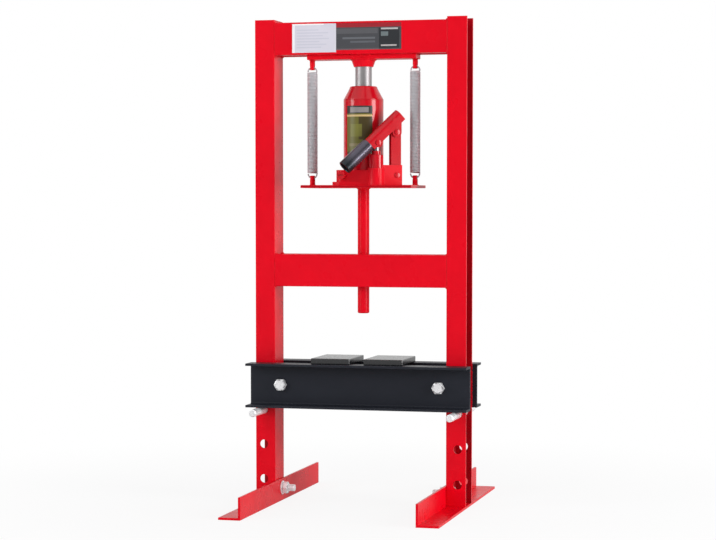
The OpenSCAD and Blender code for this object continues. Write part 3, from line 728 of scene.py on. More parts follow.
def eased_outline(points, radius, closed):
    """Replaces each real corner of an outline by a small arc."""
    count, result = len(points), []
    points = [Vector(point) for point in points]
    for i, here in enumerate(points):
        if not closed and i in (0, count - 1):
            result.append(here)
            continue
        to_last, to_next = points[i - 1] - here, points[(i + 1) % count] - here
        turn = math.pi - to_last.angle(to_next)
        if turn < STRAIGHT_UNDER:
            result.append(here)
            continue
        room = MOST_OF_A_SIDE * min(to_last.length, to_next.length)
        cut = min(radius * math.tan(turn / 2), room)
        result += bend(here + to_last.normalized() * cut, here, here + to_next.normalized() * cut,
                       [step / (ARC_POINTS - 1) for step in range(ARC_POINTS)])
    return [(max(point.x, 0.0), point.y) for point in result]


# %% Turn an outline round an axis
UP = Vector((0, 0, 1))
ON_AXIS = 1e-7


def turned_mesh(bm, outline, closed, at, axis, turns):
    """Adds an outline of (radius, height) pairs to a bmesh, swept round an axis through a point."""
    place = Matrix.Translation(at) @ UP.rotation_difference(axis).to_matrix().to_4x4()
    angles = [2 * math.pi * k / turns for k in range(turns)]
    rings = []
    for radius, height in outline:
        if radius < ON_AXIS:
            rings.append([bm.verts.new(place @ Vector((0, 0, height)))] * turns)
        else:
            rings.append([bm.verts.new(place @ Vector((radius * math.cos(a), radius * math.sin(a),
                                                       height))) for a in angles])
    pairs = list(zip(rings, rings[1:])) + ([(rings[-1], rings[0])] if closed else [])
    made = []
    for low, high in pairs:
        for k in range(turns):
            corners = [low[k], low[(k + 1) % turns], high[(k + 1) % turns], high[k]]
            corners = [c for j, c in enumerate(corners) if c not in corners[:j]]
            if len(corners) > 2:
                made.append(bm.faces.new(corners))
    bmesh.ops.recalc_face_normals(bm, faces=made)


def turned(node, outline, at, ease=0.4, closed=False, axis=UP, turns=96):
    """A turned piece that stands in for a measured part. Outline heights run along the axis, and
    ease is the radius of its corners in millimetres."""
    bm = bmesh.new()
    points = eased_outline(outline, ease * MM, closed)
    turned_mesh(bm, points, closed, at, axis, turns)
    piece = settle(piece_from(bm, node + "_turned"))
    print(f"{node}: turned from {len(points)} points, {len(piece.data.polygons)} faces")
    return stand_in(piece, node)


def tube(outer, inner, low, high):
    """The closed outline of a plain tube."""
    return [(outer, low), (outer, high), (inner, high), (inner, low)]


# %% [markdown]
# The press rod, its guide and the ram's socket come first. The rod's nose is chamfered, and the
# guide is a plain tube between the middle beams. The socket tapers down from the bar and holds the
# ram's end in a shallow bore, so the ram is turned with it.

# %% Rod, guide and socket
ROD_NOSE, ROD_SLIP, RAM_RADIUS = 1.5 * MM, 0.08 * MM, 14 * MM
SOCKET_LOW_SHARE, SOCKET_BORE_SLIP, SOCKET_ROOF = 16.4 / 21, 0.6 * MM, 1.5 * MM


def upright(node):
    """An upright round part's axis point at height 0, its radius, and its lowest and highest z."""
    low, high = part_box(node)
    centre = (low + high) / 2
    return Vector((centre.x, centre.y, 0)), (high.x - low.x) / 2, low.z, high.z


at, radius, low, high = upright("press_rod")
turned("press_rod", [(0, low), (radius - ROD_NOSE, low), (radius, low + ROD_NOSE), (radius, high),
                     (0, high)], ease=0.8, at=at)

at, radius, low, high = upright("rod_guide")
turned("rod_guide", tube(radius, upright("press_rod")[1] + ROD_SLIP, low, high), ease=0.6,
       closed=True, at=at)

at, radius, low, high = upright("ram_socket")
bore = RAM_RADIUS + SOCKET_BORE_SLIP
turned("ram_socket", [(0, high), (radius, high), (radius * SOCKET_LOW_SHARE, low), (bore, low),
                      (bore, high - SOCKET_ROOF), (0, high - SOCKET_ROOF)], ease=0.7, at=at)

# %% [markdown]
# ## The jack's round parts
# The reservoir is a thin tube with the filler's hole at the back. The cap that closes it swells
# out over the tube's end, slopes in, and holds the wiper round the ram. The ram carries its piston
# below, out of sight in the cylinder. The filler's hole is cut from the finished tube with a
# Boolean, so that the plug has a real hole to sit in.

# %% Reservoir and its filler's hole
WALL, SEAT_SLIP, FIT = 2.0 * MM, 0.1 * MM, 0.05 * MM
PLUG_HOLE_RADIUS, DRILL_HALF = 4.0 * MM, 10 * MM
REARWARD = Vector((0, 1, 0))

at, radius, low, high = upright("reservoir")
reservoir = turned("reservoir", tube(radius, radius - WALL, low, high), ease=0.4, closed=True,
                   at=at, turns=160)
drill_bm = bmesh.new()
turned_mesh(drill_bm, [(0, -DRILL_HALF), (PLUG_HOLE_RADIUS, -DRILL_HALF),
                       (PLUG_HOLE_RADIUS, DRILL_HALF), (0, DRILL_HALF)],
            False, Vector((0, radius, middle("oil_plug").z)), REARWARD, 48)
drill = piece_from(drill_bm, "drill")
hole = reservoir.modifiers.new("filler_hole", "BOOLEAN")
hole.object, hole.operation, hole.solver = drill, "DIFFERENCE", "EXACT"
plain_mesh(reservoir)
bpy.data.objects.remove(drill)

# %% Cap
RAM_SLIP, WIPER_DEPTH, WIPER_HEIGHT = 0.08 * MM, 2.5 * MM, 4 * MM
# Steps in from the rim: first up from the tube's end, then down from the cap's top, in mm.
CAP_SWELL = ((0, 0), (0, 1.5), (1.4, 4))
CAP_SLOPE = ((6.7, 10), (10.2, 3), (10.7, 1.2), (11.8, 0))

at, rim, low, high = upright("top_nut")
shoulder = upright("reservoir")[3]
skirt = rim - WALL - SEAT_SLIP
wiper_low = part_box("wiper_seal")[0].z - SEAT_SLIP
wiper_high = wiper_low + WIPER_HEIGHT
bore, cylinder_radius = RAM_RADIUS + RAM_SLIP, upright("pressure_cylinder")[1] + FIT
cylinder_high = upright("pressure_cylinder")[3]
turned("top_nut", [(cylinder_radius, low), (skirt, low), (skirt, shoulder)]
       + [(rim - step * MM, shoulder + up * MM) for step, up in CAP_SWELL]
       + [(rim - step * MM, high - down * MM) for step, down in CAP_SLOPE]
       + [(bore, high), (bore, wiper_high), (bore + WIPER_DEPTH, wiper_high),
          (bore + WIPER_DEPTH, wiper_low), (bore, wiper_low), (bore, cylinder_high),
          (cylinder_radius, cylinder_high)], ease=1.0, closed=True, at=at, turns=128)

# %% Ram
PISTON_HEIGHT, GROOVE_HEIGHT, GROOVE_DEPTH, RAM_CHAMFER = 12 * MM, 4 * MM, 2.5 * MM, 1 * MM
at, piston, low, high = upright("ram")
groove = low + (PISTON_HEIGHT - GROOVE_HEIGHT) / 2
turned("ram", [
    (0, low), (piston, low), (piston, groove), (piston - GROOVE_DEPTH, groove),
    (piston - GROOVE_DEPTH, groove + GROOVE_HEIGHT), (piston, groove + GROOVE_HEIGHT),
    (piston, low + PISTON_HEIGHT), (RAM_RADIUS, low + PISTON_HEIGHT),
    (RAM_RADIUS, high - RAM_CHAMFER), (RAM_RADIUS - RAM_CHAMFER, high), (0, high)],
    ease=0.4, at=at, turns=128)

# %% [markdown]
# The filler plug is a soft rubber mushroom pressed into the back of the tube: its stem is inside
# the hole, and its domed head lies on the wall.

# %% Filler plug
PLUG_HEAD, PLUG_LIP = 2.4 * MM, 0.8 * MM


def domed(radius, low, high, steps=6):
    """The outline of a shallow dome from its rim up to the axis."""
    return [(radius * math.cos(a), low + (high - low) * math.sin(a))
            for a in (math.pi / 2 * k / steps for k in range(steps + 1))]


low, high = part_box("oil_plug")
centre = middle("oil_plug")
head_radius, stem_radius = (high.z - low.z) / 2, PLUG_HOLE_RADIUS - FIT
head_low = high.y - PLUG_HEAD
turned("oil_plug", [(0, low.y), (stem_radius, low.y), (stem_radius, head_low),
                    (head_radius, head_low)] + domed(head_radius, head_low + PLUG_LIP, high.y),
       ease=0.3, at=Vector((centre.x, 0, centre.z)), axis=REARWARD, turns=48)

# %% [markdown]
# ## The pump
# The pump's tube stands in the base beside the reservoir, with a gland nut on top. Three headed
# pins join the link, the yoke and the plunger. Each is turned about its own axis, which is the
# lever's swing axis, and each head is domed as a riveted head is.

# %% Pump tube and gland
PLUNGER_BORE, SEAL_BORE, GLAND_RELIEF = 5.58 * MM, 8.0 * MM, 0.3 * MM
at, radius, low, high = upright("pump_cylinder")
seal_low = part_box("plunger_seal")[0].z - SEAT_SLIP
turned("pump_cylinder", [(radius, low), (radius, high), (SEAL_BORE, high), (SEAL_BORE, seal_low),
                         (PLUNGER_BORE, seal_low), (PLUNGER_BORE, low)], ease=0.8, closed=True,
       at=at, turns=72)

gland_seat = high
at, radius, low, high = upright("pump_gland")
turned("pump_gland", [(radius - GLAND_RELIEF, low), (radius - GLAND_RELIEF, gland_seat),
                      (radius, gland_seat), (radius, high), (PLUNGER_BORE, high),
                      (PLUNGER_BORE, low)], ease=0.5, closed=True, at=at, turns=64)

# %% Headed pins of the pump
SWING = AXIS_OF["pump_swing"]
PIN_RADIUS, PIN_HEAD_RADIUS, PIN_HEAD, PIN_DOME = 3.0 * MM, 4.8 * MM, 2.0 * MM, 0.7 * MM
for node in ("link_pin", "lever_pin", "plunger_pin"):
    first, last = reach(node, SWING)
    centre = middle(node)
    far = domed(PIN_HEAD_RADIUS, last - PIN_DOME, last)
    near = [(radius, first + last - height) for radius, height in reversed(far)]
    turned(node, near + [(PIN_HEAD_RADIUS, first + PIN_HEAD), (PIN_RADIUS, first + PIN_HEAD),
                         (PIN_RADIUS, last - PIN_HEAD), (PIN_HEAD_RADIUS, last - PIN_HEAD)] + far,
           ease=0.15, at=centre - SWING * centre.dot(SWING), axis=SWING, turns=48)

# %% [markdown]
# ## The handle's sleeve
# The record has a mount where the pump handle goes in: its point, its axis, its bore and its
# depth. The sleeve is turned about that axis. Its mouth is flared a little by wear from the
# handle, and the bore is really open, because its dark mouth is what shows from the front.

# %% Handle sleeve
SLEEVE_RADIUS, SPIGOT_RADIUS, SPIGOT, FLARE = 12.2 * MM, 7.7 * MM, 2.5 * MM, 0.6 * MM
socket = MOUNT["handle_socket"]
bore, depth = socket["dims"]["r_mm"] * MM, socket["dims"]["length_mm"] * MM
point = Vector(socket["pos_m"])
at = point - SLEEVE_AXIS * point.dot(SLEEVE_AXIS)
shoulder, bottom = sleeve_back + SPIGOT, sleeve_mouth - depth
turned("handle_sleeve", [
    (0, sleeve_back), (SPIGOT_RADIUS, sleeve_back), (SPIGOT_RADIUS, shoulder),
    (SLEEVE_RADIUS, shoulder), (SLEEVE_RADIUS, sleeve_mouth), (bore + FLARE, sleeve_mouth),
    (bore, sleeve_mouth - 2 * FLARE), (bore, bottom), (0, bottom)],
    ease=0.9, at=at, axis=SLEEVE_AXIS)
print("sleeve mouth at", [round(c, 4) for c in at + SLEEVE_AXIS * sleeve_mouth])

# %% [markdown]
# ## Bed pins
# Two loose bars carry the bed. They lie across the posts in the chosen row of holes, and each
# slides out toward the front on its own. Their ends are chamfered so that they find the holes.

# %% The two bed pins
PIN_CHAMFER = 1.5 * MM
for node in ("bed_pin_left", "bed_pin_right"):
    low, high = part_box(node)
    radius, centre = (high.z - low.z) / 2, middle(node)
    turned(node, [(0, low.y), (radius - PIN_CHAMFER, low.y), (radius, low.y + PIN_CHAMFER),
                  (radius, high.y - PIN_CHAMFER), (radius - PIN_CHAMFER, high.y), (0, high.y)],
           ease=0.5, at=Vector((centre.x, 0, centre.z)), axis=REARWARD, turns=64)

# %% [markdown]
# The tie bolts of the bed run through two plain spacers between its channels. The jack's label is
# a strip of vinyl bent round the reservoir, so it is bent here from many narrow faces.

# %% Bed spacers
SPACER_WALL, SPACER_EASE = 3.7 * MM, 0.4 * MM
bm = bmesh.new()
low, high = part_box("bed_spacers")
radius = (high.z - low.z) / 2
outline = eased_outline(tube(radius, radius - SPACER_WALL, low.y, high.y), SPACER_EASE, True)
for side in (-1, 1):
    at = Vector((side * (high.x - radius), 0, (low.z + high.z) / 2))
    turned_mesh(bm, outline, True, at, REARWARD, 64)
spacers = stand_in(settle(piece_from(bm, "bed_spacers_turned")), "bed_spacers")
print("bed_spacers: 2 tubes,", len(spacers.data.polygons), "faces")

# %% The bent label
LABEL_STRIPS = 48
bm = bmesh.new()
low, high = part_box("jack_label")
centre, inner = middle("reservoir"), upright("reservoir")[1]
outer = centre.y - low.y
rings = []
for k in range(LABEL_STRIPS + 1):
    angle = LABEL_HALF_ANGLE * (2 * k / LABEL_STRIPS - 1)
    east, front = math.sin(angle), math.cos(angle)
    rings.append([bm.verts.new((centre.x + r * east, centre.y - r * front, z))
                  for r, z in ((inner, low.z), (outer, low.z), (outer, high.z), (inner, high.z))])
for last, here in zip(rings, rings[1:]):
    for i in range(4):
        bm.faces.new((last[i], last[(i + 1) % 4], here[(i + 1) % 4], here[i]))
bm.faces.new(rings[0])
bm.faces.new(rings[-1])
bmesh.ops.recalc_face_normals(bm, faces=bm.faces)
stand_in(settle(piece_from(bm, "jack_label_bent")), "jack_label")
print("label bent from", LABEL_STRIPS, "strips at radius", round(outer / MM, 2), "mm")

# %% [markdown]
# ## Geometry Nodes
# Wire, screw threads and weld ripples repeat one shape along a path, so node trees grow them. Each
# tree has named inputs, and a modifier takes its values by the sockets' identifiers. The result is
# copied into a plain mesh straight away, so no modifier stays on a finished piece.

# %% Run a tree and keep its result
def grown(source, tree, name, **values):
    """Runs a tree on a piece and returns the result as a new piece. The source is removed."""
    modifier = source.modifiers.new(tree.name, "NODES")
    modifier.node_group = tree
    for item in tree.interface.items_tree:
        label = item.name.replace(" ", "_").lower()
        if item.in_out == "INPUT" and label in values:
            modifier[item.identifier] = values[label]
    source.update_tag()
    mesh = plain_mesh(source).data
    mesh.name = name
    piece = bpy.data.objects.new(name, mesh)
    bpy.context.scene.collection.objects.link(piece)
    bpy.data.objects.remove(source)
    print(f"{name}: {len(mesh.polygons)} faces from {tree.name}")
    return piece


def path_piece(paths, name, closed=False):
    """Chains of points as a mesh of edges, ready for a tree that turns them into curves."""
    bm = bmesh.new()
    for path in paths:
        corners = [bm.verts.new(point) for point in path]
        for last, here in zip(corners, corners[1:] + (corners[:1] if closed else [])):
            bm.edges.new((last, here))
    return piece_from(bm, name)


def swept(tree, line, ring):
    """A capped tube: the ring's curve swept along the line's."""
    return put(tree, "GeometryNodeCurveToMesh",
               {"Curve": line, "Profile Curve": ring, "Fill Caps": True}).outputs[0]


def line_and_ring(tree, mesh, sides, radius):
    """A mesh of edges as a curve, and a circle to sweep along it."""
    return (put(tree, "GeometryNodeMeshToCurve", {"Mesh": mesh}).outputs[0],
            put(tree, "GeometryNodeCurvePrimitiveCircle",
                {"Resolution": sides, "Radius": radius}).outputs[0])


def finish_tree(tree, mesh, finish, gives, smooth=True):
    """The end of every tree: real meshes and a material."""
    real = put(tree, "GeometryNodeRealizeInstances", {"Geometry": mesh}).outputs[0]
    if smooth:
        real = put(tree, "GeometryNodeSetShadeSmooth", {"Geometry": real}).outputs[0]
    done = put(tree, "GeometryNodeSetMaterial", {"Geometry": real, "Material": finish}).outputs[0]
    tree.links.new(done, gives["Geometry"])
    return tree


# %% [markdown]
# ## The two return springs
# Each spring is one piece of hard wire: a half loop through the lower stud's eye, about seventy
# turns lying against each other, and a half loop through the upper eye. The path is worked out as
# points, with a tight bend where a loop leaves the coil, and a tree sweeps the round wire along
# it.

# %% The tree that sweeps wire along a path
WIRE_RADIUS, WIRE_SIDES = 1.2 * MM, 12


def wire_tree():
    """A round wire along each chain of edges."""
    tree, given, gives = new_group("sweep_wire", "GeometryNodeTree", {
        "Geometry": ("mesh", None), "Wire radius": ("value", WIRE_RADIUS),
        "Sides": ("whole", WIRE_SIDES), "Finish": ("finish", None)}, {"Geometry": "mesh"})
    line, ring = line_and_ring(tree, given["Geometry"], given["Sides"], given["Wire radius"])
    return finish_tree(tree, swept(tree, line, ring), given["Finish"], gives)


# %% The path of a spring's wire
TURN_GAP = 0.04 * MM
POINTS_A_TURN, LOOP_STEPS, BEND_STEPS = 28, 24, 6
BENT_LOOP, BENT_COIL = 0.16, 0.30  # radians of the loop and of the coil that a bend takes up


def spring_path(x, low, high, radius):
    """Points along the wire, from the free end of the lower loop to that of the upper one."""
    first, last = low + WIRE_RADIUS, high - WIRE_RADIUS
    turns = round((last - first) / (2 * WIRE_RADIUS + TURN_GAP))

    def on_coil(angle):
        return Vector((x + radius * math.cos(angle), radius * math.sin(angle),
                       first + (last - first) * angle / (2 * math.pi * turns)))

    def loop(level, way):
        angles = [BENT_LOOP + (math.pi - BENT_LOOP) * k / LOOP_STEPS
                  for k in range(LOOP_STEPS + 1)]
        return [Vector((x + radius * math.cos(angle), 0, level + way * radius * math.sin(angle)))
                for angle in angles]

    def joint(start, level, end):
        shares = [k / BEND_STEPS for k in range(1, BEND_STEPS)]
        return bend(start, Vector((x + radius, 0, level)), end, shares)

    lower, upper = loop(low, -1)[::-1], loop(high, 1)
    steps, whole = turns * POINTS_A_TURN, 2 * math.pi * turns
    coil = [on_coil(BENT_COIL + (whole - 2 * BENT_COIL) * k / steps) for k in range(steps + 1)]
    return (lower + joint(lower[-1], first, coil[0]) + coil
            + joint(coil[-1], last, upper[0]) + upper), turns


# %% Grow both springs
SWEEP_WIRE = wire_tree()
for node in ("spring_left", "spring_right"):
    low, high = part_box(node)
    x, coil_radius = (low.x + high.x) / 2, (high.x - low.x) / 2 - WIRE_RADIUS
    coil_low, coil_high = low.z + coil_radius + WIRE_RADIUS, high.z - coil_radius - WIRE_RADIUS
    path, turns = spring_path(x, coil_low, coil_high, coil_radius)
    spring = grown(path_piece([path], node + "_path"), SWEEP_WIRE, node + "_wound",
                   wire_radius=WIRE_RADIUS, sides=WIRE_SIDES, finish=FINISH["spring_steel"])
    settle(spring)
    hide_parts(node)
    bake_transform(spring)
    print(f"{node}: {turns} turns of {2 * WIRE_RADIUS / MM:.1f} mm wire")

# %% [markdown]
# ## Screws, nuts and washers
# Four M12 bolts hold the press together: two through the feet and two through the bed. A hexagon
# head is turned to a cone on its top, and where the cone cuts the six flats it leaves six arcs.
# Heads and nuts are built ring by ring so that those arcs are real. The thread is cut by a tree
# that moves the shank's skin in along a helix of the right pitch, and a second tree sets the
# finished screws out on points that carry their own direction.

# %% Rings of a hexagon
HEX_ACROSS, HEAD_HEIGHT, CONE_SLOPE = 19 * MM, 8 * MM, math.tan(math.radians(30))
CONE_RADIUS, COUNTERSINK = 0.385 * HEX_ACROSS, 0.8 * MM
BLUNT = 2.2  # degrees of each side's 60 that the blunted corner takes
SIDE_ANGLES = (0, BLUNT, 7, 16, 30, 44, 53, 60 - BLUNT)


def hexagon_ring(twist):
    """(angle, radius) round a hexagon whose six corners are slightly blunt."""
    return [(twist + math.radians(60 * side + angle),
             HEX_ACROSS / 2 / math.cos(math.radians(max(angle, BLUNT) - 30)))
            for side in range(6) for angle in SIDE_ANGLES]


def ring_at(bm, ring, heights):
    """The corners of a ring, each at its own height."""
    return [bm.verts.new((r * math.cos(a), r * math.sin(a), z)) for (a, r), z in zip(ring, heights)]


def join_rings(bm, low, high, rub_and_light=0.0):
    """Faces between two rings, with the edge mark on their corners, which takes wear and painted light."""
    rub_and_painted_light = bm.loops.layers.float.get("rub_and_painted_light") or bm.loops.layers.float.new("rub_and_painted_light")
    count = len(low)
    for k in range(count):
        face = bm.faces.new((low[k], low[(k + 1) % count], high[(k + 1) % count], high[k]))
        for loop in face.loops:
            loop[rub_and_painted_light] = rub_and_light


# %% A bolt's head or a nut
def hexagon(bm, low, high, bore=None, twist=0.0):
    """Adds a bolt head that stands on z = low, or with a bore a nut chamfered on both sides."""
    ring = hexagon_ring(twist)
    drop = [(radius - CONE_RADIUS) * CONE_SLOPE for _, radius in ring]

    def flat_ring(radius, z):
        return ring_at(bm, [(angle, radius) for angle, _ in ring], [z] * len(ring))

    upper = ring_at(bm, ring, [high - fall for fall in drop])
    top = flat_ring(CONE_RADIUS, high)
    lower = ring_at(bm, ring, [low + fall * bool(bore) for fall in drop])
    join_rings(bm, lower, upper)
    # The cone's faces take the edge colour: on the zinc that is a dark rim of painted shade.
    join_rings(bm, upper, top, 1.0)
    if not bore:
        bm.faces.new(top)
        bm.faces.new(list(reversed(lower)))
        return
    rings = [top] + [flat_ring(radius, z) for radius, z in (
        (bore + COUNTERSINK, high), (bore, high - COUNTERSINK), (bore, low + COUNTERSINK),
        (bore + COUNTERSINK, low), (CONE_RADIUS, low))] + [lower]
    for last, here in zip(rings, rings[1:]):
        join_rings(bm, last, here)


# %% The tree that cuts a thread
PITCH, THREAD_DEPTH = 1.75 * MM, 0.95 * MM
CREST_SHARE, ROOT_SHARE = 0.125, 0.75  # of half a pitch, from the middle of the crest


def thread_tree():
    """Moves a shank's skin inward wherever the helix of the thread has its groove."""
    tree, given, gives = new_group("cut_thread", "GeometryNodeTree", {
        "Geometry": ("mesh", None), "Pitch": ("value", PITCH), "Depth": ("value", THREAD_DEPTH),
        "Thread low": ("value", 0.0), "Finish": ("finish", None)}, {"Geometry": "mesh"})
    place = put(tree, "GeometryNodeInputPosition").outputs[0]
    part = put(tree, "ShaderNodeSeparateXYZ", {0: place}).outputs
    turn = calc(tree, "DIVIDE", calc(tree, "ARCTAN2", part["Y"], part["X"]), 2 * math.pi)
    climb = calc(tree, "DIVIDE", part["Z"], given["Pitch"])
    phase = put(tree, "ShaderNodeMath", {0: calc(tree, "SUBTRACT", climb, turn), 1: 1.0, 2: 0.0},
                operation="WRAP").outputs[0]
    from_crest = calc(tree, "ABSOLUTE",
                      calc(tree, "SUBTRACT", calc(tree, "MULTIPLY", phase, 2.0), 1.0))
    groove = ramp(tree, from_crest, CREST_SHARE, ROOT_SHARE)
    runout = ramp(tree, part["Z"], given["Thread low"],
                  calc(tree, "ADD", given["Thread low"], given["Pitch"]))
    depth = calc(tree, "MULTIPLY", calc(tree, "MULTIPLY", groove, runout), given["Depth"])
    flat = put(tree, "ShaderNodeCombineXYZ", {0: part["X"], 1: part["Y"]}).outputs[0]
    outward = put(tree, "ShaderNodeVectorMath", {0: flat}, operation="NORMALIZE").outputs[0]
    inward = put(tree, "ShaderNodeVectorMath",
                 {0: outward, "Scale": calc(tree, "MULTIPLY", depth, -1.0)},
                 operation="SCALE").outputs[0]
    threaded = put(tree, "GeometryNodeInputNamedAttribute", {"Name": "threaded"},
                   data_type="BOOLEAN").outputs[0]
    cut = put(tree, "GeometryNodeSetPosition", {"Geometry": given["Geometry"],
                                                "Selection": threaded, "Offset": inward}).outputs[0]
    return finish_tree(tree, cut, given["Finish"], gives, smooth=False)


CUT_THREAD = thread_tree()

# %% Build one bolt
SHANK_RADIUS, TIP_CHAMFER = 6.0 * MM, 1.0 * MM
SHANK_SIDES, RINGS_A_PITCH = 56, 10


def bolt(name, length, thread_low):
    """A bolt along z with its head below z = 0, threaded from thread_low to its tip."""
    bm = bmesh.new()
    hexagon(bm, 0.0, HEAD_HEIGHT)
    bmesh.ops.rotate(bm, verts=bm.verts, cent=(0, 0, 0), matrix=Matrix.Rotation(math.pi, 3, "X"))
    threaded = bm.verts.layers.bool.new("threaded")
    count = math.ceil((length - thread_low) / PITCH * RINGS_A_PITCH)
    heights = [0.0] + [thread_low + (length - thread_low) * k / count for k in range(count + 1)]
    rings = []
    for z in heights:
        radius = min(SHANK_RADIUS, SHANK_RADIUS - (z - (length - TIP_CHAMFER)))
        ring = [(2 * math.pi * k / SHANK_SIDES, radius) for k in range(SHANK_SIDES)]
        rings.append(ring_at(bm, ring, [z] * SHANK_SIDES))
    for last, here in zip(rings, rings[1:]):
        join_rings(bm, last, here)
        for corner in here:
            corner[threaded] = True
    bm.faces.new(rings[-1])
    bm.faces.new(list(reversed(rings[0])))
    return grown(piece_from(bm, name + "_blank"), CUT_THREAD, name, pitch=PITCH,
                 depth=THREAD_DEPTH, thread_low=thread_low, finish=FINISH["zinc_plate"])


# %% The tree that sets shapes out on points
def copies_at(tree, points, shape, aim, **more):
    """Copies of a shape on points, each turned so that its z axis runs along aim."""
    turn = put(tree, "FunctionNodeAlignRotationToVector", {"Vector": aim}, axis="Z").outputs[0]
    return put(tree, "GeometryNodeInstanceOnPoints", {
        "Points": points, "Instance": shape, "Rotation": turn, **more}).outputs[0]


def set_out_tree():
    """A shape on every point, aimed as the point says."""
    tree, given, gives = new_group("set_out", "GeometryNodeTree", {
        "Geometry": ("mesh", None), "Shape": ("object", None), "Finish": ("finish", None)},
        {"Geometry": "mesh"})
    shape = put(tree, "GeometryNodeObjectInfo", {"Object": given["Shape"]}).outputs["Geometry"]
    aim = put(tree, "GeometryNodeInputNamedAttribute", {"Name": "aim"},
              data_type="FLOAT_VECTOR").outputs[0]
    copies = copies_at(tree, given["Geometry"], shape, aim)
    return finish_tree(tree, copies, given["Finish"], gives, smooth=False)


SET_OUT = set_out_tree()


def set_out(shape, node, spots):
    """Copies a shape to each (point, aim), as one piece that stands in for a measured part."""
    bm = bmesh.new()
    aim_layer = bm.verts.layers.float_vector.new("aim")
    for point, aim in spots:
        bm.verts.new(point)[aim_layer] = aim
    points = piece_from(bm, node + "_points")
    piece = grown(points, SET_OUT, node + "_cut", shape=shape, finish=FINISH[FINISH_OF[node]])
    bpy.data.objects.remove(shape)
    return stand_in(settle(piece), node)


# %% [markdown]
# The foot bolts enter from outside the feet and their nuts sit inside the posts on washers, so
# their points aim inward. The bed's bolts run from front to rear. Each set takes its length and
# its place from the measured parts, and its thread starts a little before the nut.

# %% Foot bolts, nuts and washers
THREAD_LEAD, NUT_BORE = 2 * MM, SHANK_RADIUS + FIT
WASHER_BORE, WASHER_EASE = 6.3 * MM, 0.5 * MM


def half_reach(node):
    """How far the right-hand one of a mirrored pair reaches in x: (lowest, highest)."""
    along = [vertex.co.x for vertex in frame["nodes"][node].data.vertices if vertex.co.x > 0]
    return min(along), max(along)


def nut(name, height, twist=0.0):
    """A nut that stands on z = 0."""
    bm = bmesh.new()
    hexagon(bm, 0.0, height, bore=NUT_BORE, twist=twist)
    return piece_from(bm, name)


def at_feet(distance):
    """The same distance from the middle on both sides, aimed inward."""
    height = middle("foot_bolts").z
    return [(Vector((side * distance, 0, height)), Vector((-side, 0, 0))) for side in (-1, 1)]


tip, head_face = half_reach("foot_bolts")
nut_inner, nut_outer = half_reach("foot_nuts")
seat = head_face - HEAD_HEIGHT
set_out(bolt("foot_bolt", seat - tip, seat - nut_outer - THREAD_LEAD), "foot_bolts", at_feet(seat))
set_out(nut("foot_nut", nut_outer - nut_inner, math.radians(30)), "foot_nuts", at_feet(nut_outer))

bm = bmesh.new()
low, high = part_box("foot_washers")
washer_inner, washer_outer = half_reach("foot_washers")
outline = tube((high.y - low.y) / 2, WASHER_BORE, 0.0, washer_outer - washer_inner)
turned_mesh(bm, eased_outline(outline, WASHER_EASE, True), True, Vector((0, 0, 0)), UP, 72)
set_out(piece_from(bm, "foot_washer"), "foot_washers", at_feet(washer_outer))

# %% Bed bolts and nuts
low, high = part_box("bed_bolts")
nut_low, nut_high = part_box("bed_nuts")


def at_bed(y):
    """The same depth on both sides of the bed, aimed to the rear."""
    x, z = sum(half_reach("bed_bolts")) / 2, (low.z + high.z) / 2
    return [(Vector((side * x, y, z)), REARWARD) for side in (-1, 1)]


seat = low.y + HEAD_HEIGHT
set_out(bolt("bed_bolt", high.y - seat, nut_low.y - seat - THREAD_LEAD), "bed_bolts", at_bed(seat))
set_out(nut("bed_nut", nut_high.y - nut_low.y), "bed_nuts", at_bed(nut_low.y))

# %% [markdown]
# ## Weld beads
# The crossbeams, the bar and its socket, the guide, the studs and the rod are welded on. A
# hand-laid fillet is a row of small overlapping ripples, so a tree lays a round bead in the corner
# and sets a flattened ripple on it every millimetre or so, each a little different, from a fixed
# seed. The paint goes over all of it. The beads sit where the parts meet, and they ride with what
# they are on.

# %% The tree that lays a bead
BEAD_SIDES, CORE_SHARE, RIPPLE_SHARE = 10, 0.86, 0.85


def enabled(sockets, name):
    """A node with several types keeps a socket for each: this is the one in use."""
    return next(socket for socket in sockets if socket.name == name and socket.enabled)


def bead_tree():
    """A round bead along each chain of edges, with a ripple at every step."""
    tree, given, gives = new_group("lay_bead", "GeometryNodeTree", {
        "Geometry": ("mesh", None), "Bead radius": ("value", 2 * MM),
        "Ripple step": ("value", 1.2 * MM), "Unevenness": ("value", 0.08), "Seed": ("whole", 7),
        "Finish": ("finish", None)}, {"Geometry": "mesh"})
    core = calc(tree, "MULTIPLY", given["Bead radius"], CORE_SHARE)
    line, ring = line_and_ring(tree, given["Geometry"], BEAD_SIDES, core)
    marks = put(tree, "GeometryNodeCurveToPoints", {"Curve": line, "Length": given["Ripple step"]},
                mode="LENGTH").outputs
    ripple = put(tree, "GeometryNodeMeshUVSphere", {"Segments": 8, "Rings": 5, "Radius": 1.0})
    uneven = put(tree, "FunctionNodeRandomValue", {"Seed": given["Seed"]}, data_type="FLOAT")
    for label, way in (("Min", "SUBTRACT"), ("Max", "ADD")):
        tree.links.new(calc(tree, way, 1.0, given["Unevenness"]), enabled(uneven.inputs, label))
    wide = calc(tree, "MULTIPLY", given["Bead radius"], enabled(uneven.outputs, "Value"))
    thin = calc(tree, "MULTIPLY", given["Ripple step"], RIPPLE_SHARE)
    size = put(tree, "ShaderNodeCombineXYZ", {0: wide, 1: wide, 2: thin}).outputs[0]
    ripples = copies_at(tree, marks["Points"], ripple.outputs["Mesh"], marks["Tangent"], Scale=size)
    both = put(tree, "GeometryNodeJoinGeometry")
    tree.links.new(swept(tree, line, ring), both.inputs[0])
    tree.links.new(ripples, both.inputs[0])
    return finish_tree(tree, both.outputs[0], given["Finish"], gives)


LAY_BEAD = bead_tree()

# %% Lay beads along paths
STEP_SHARE, LEAST_STEP = 0.55, 0.7


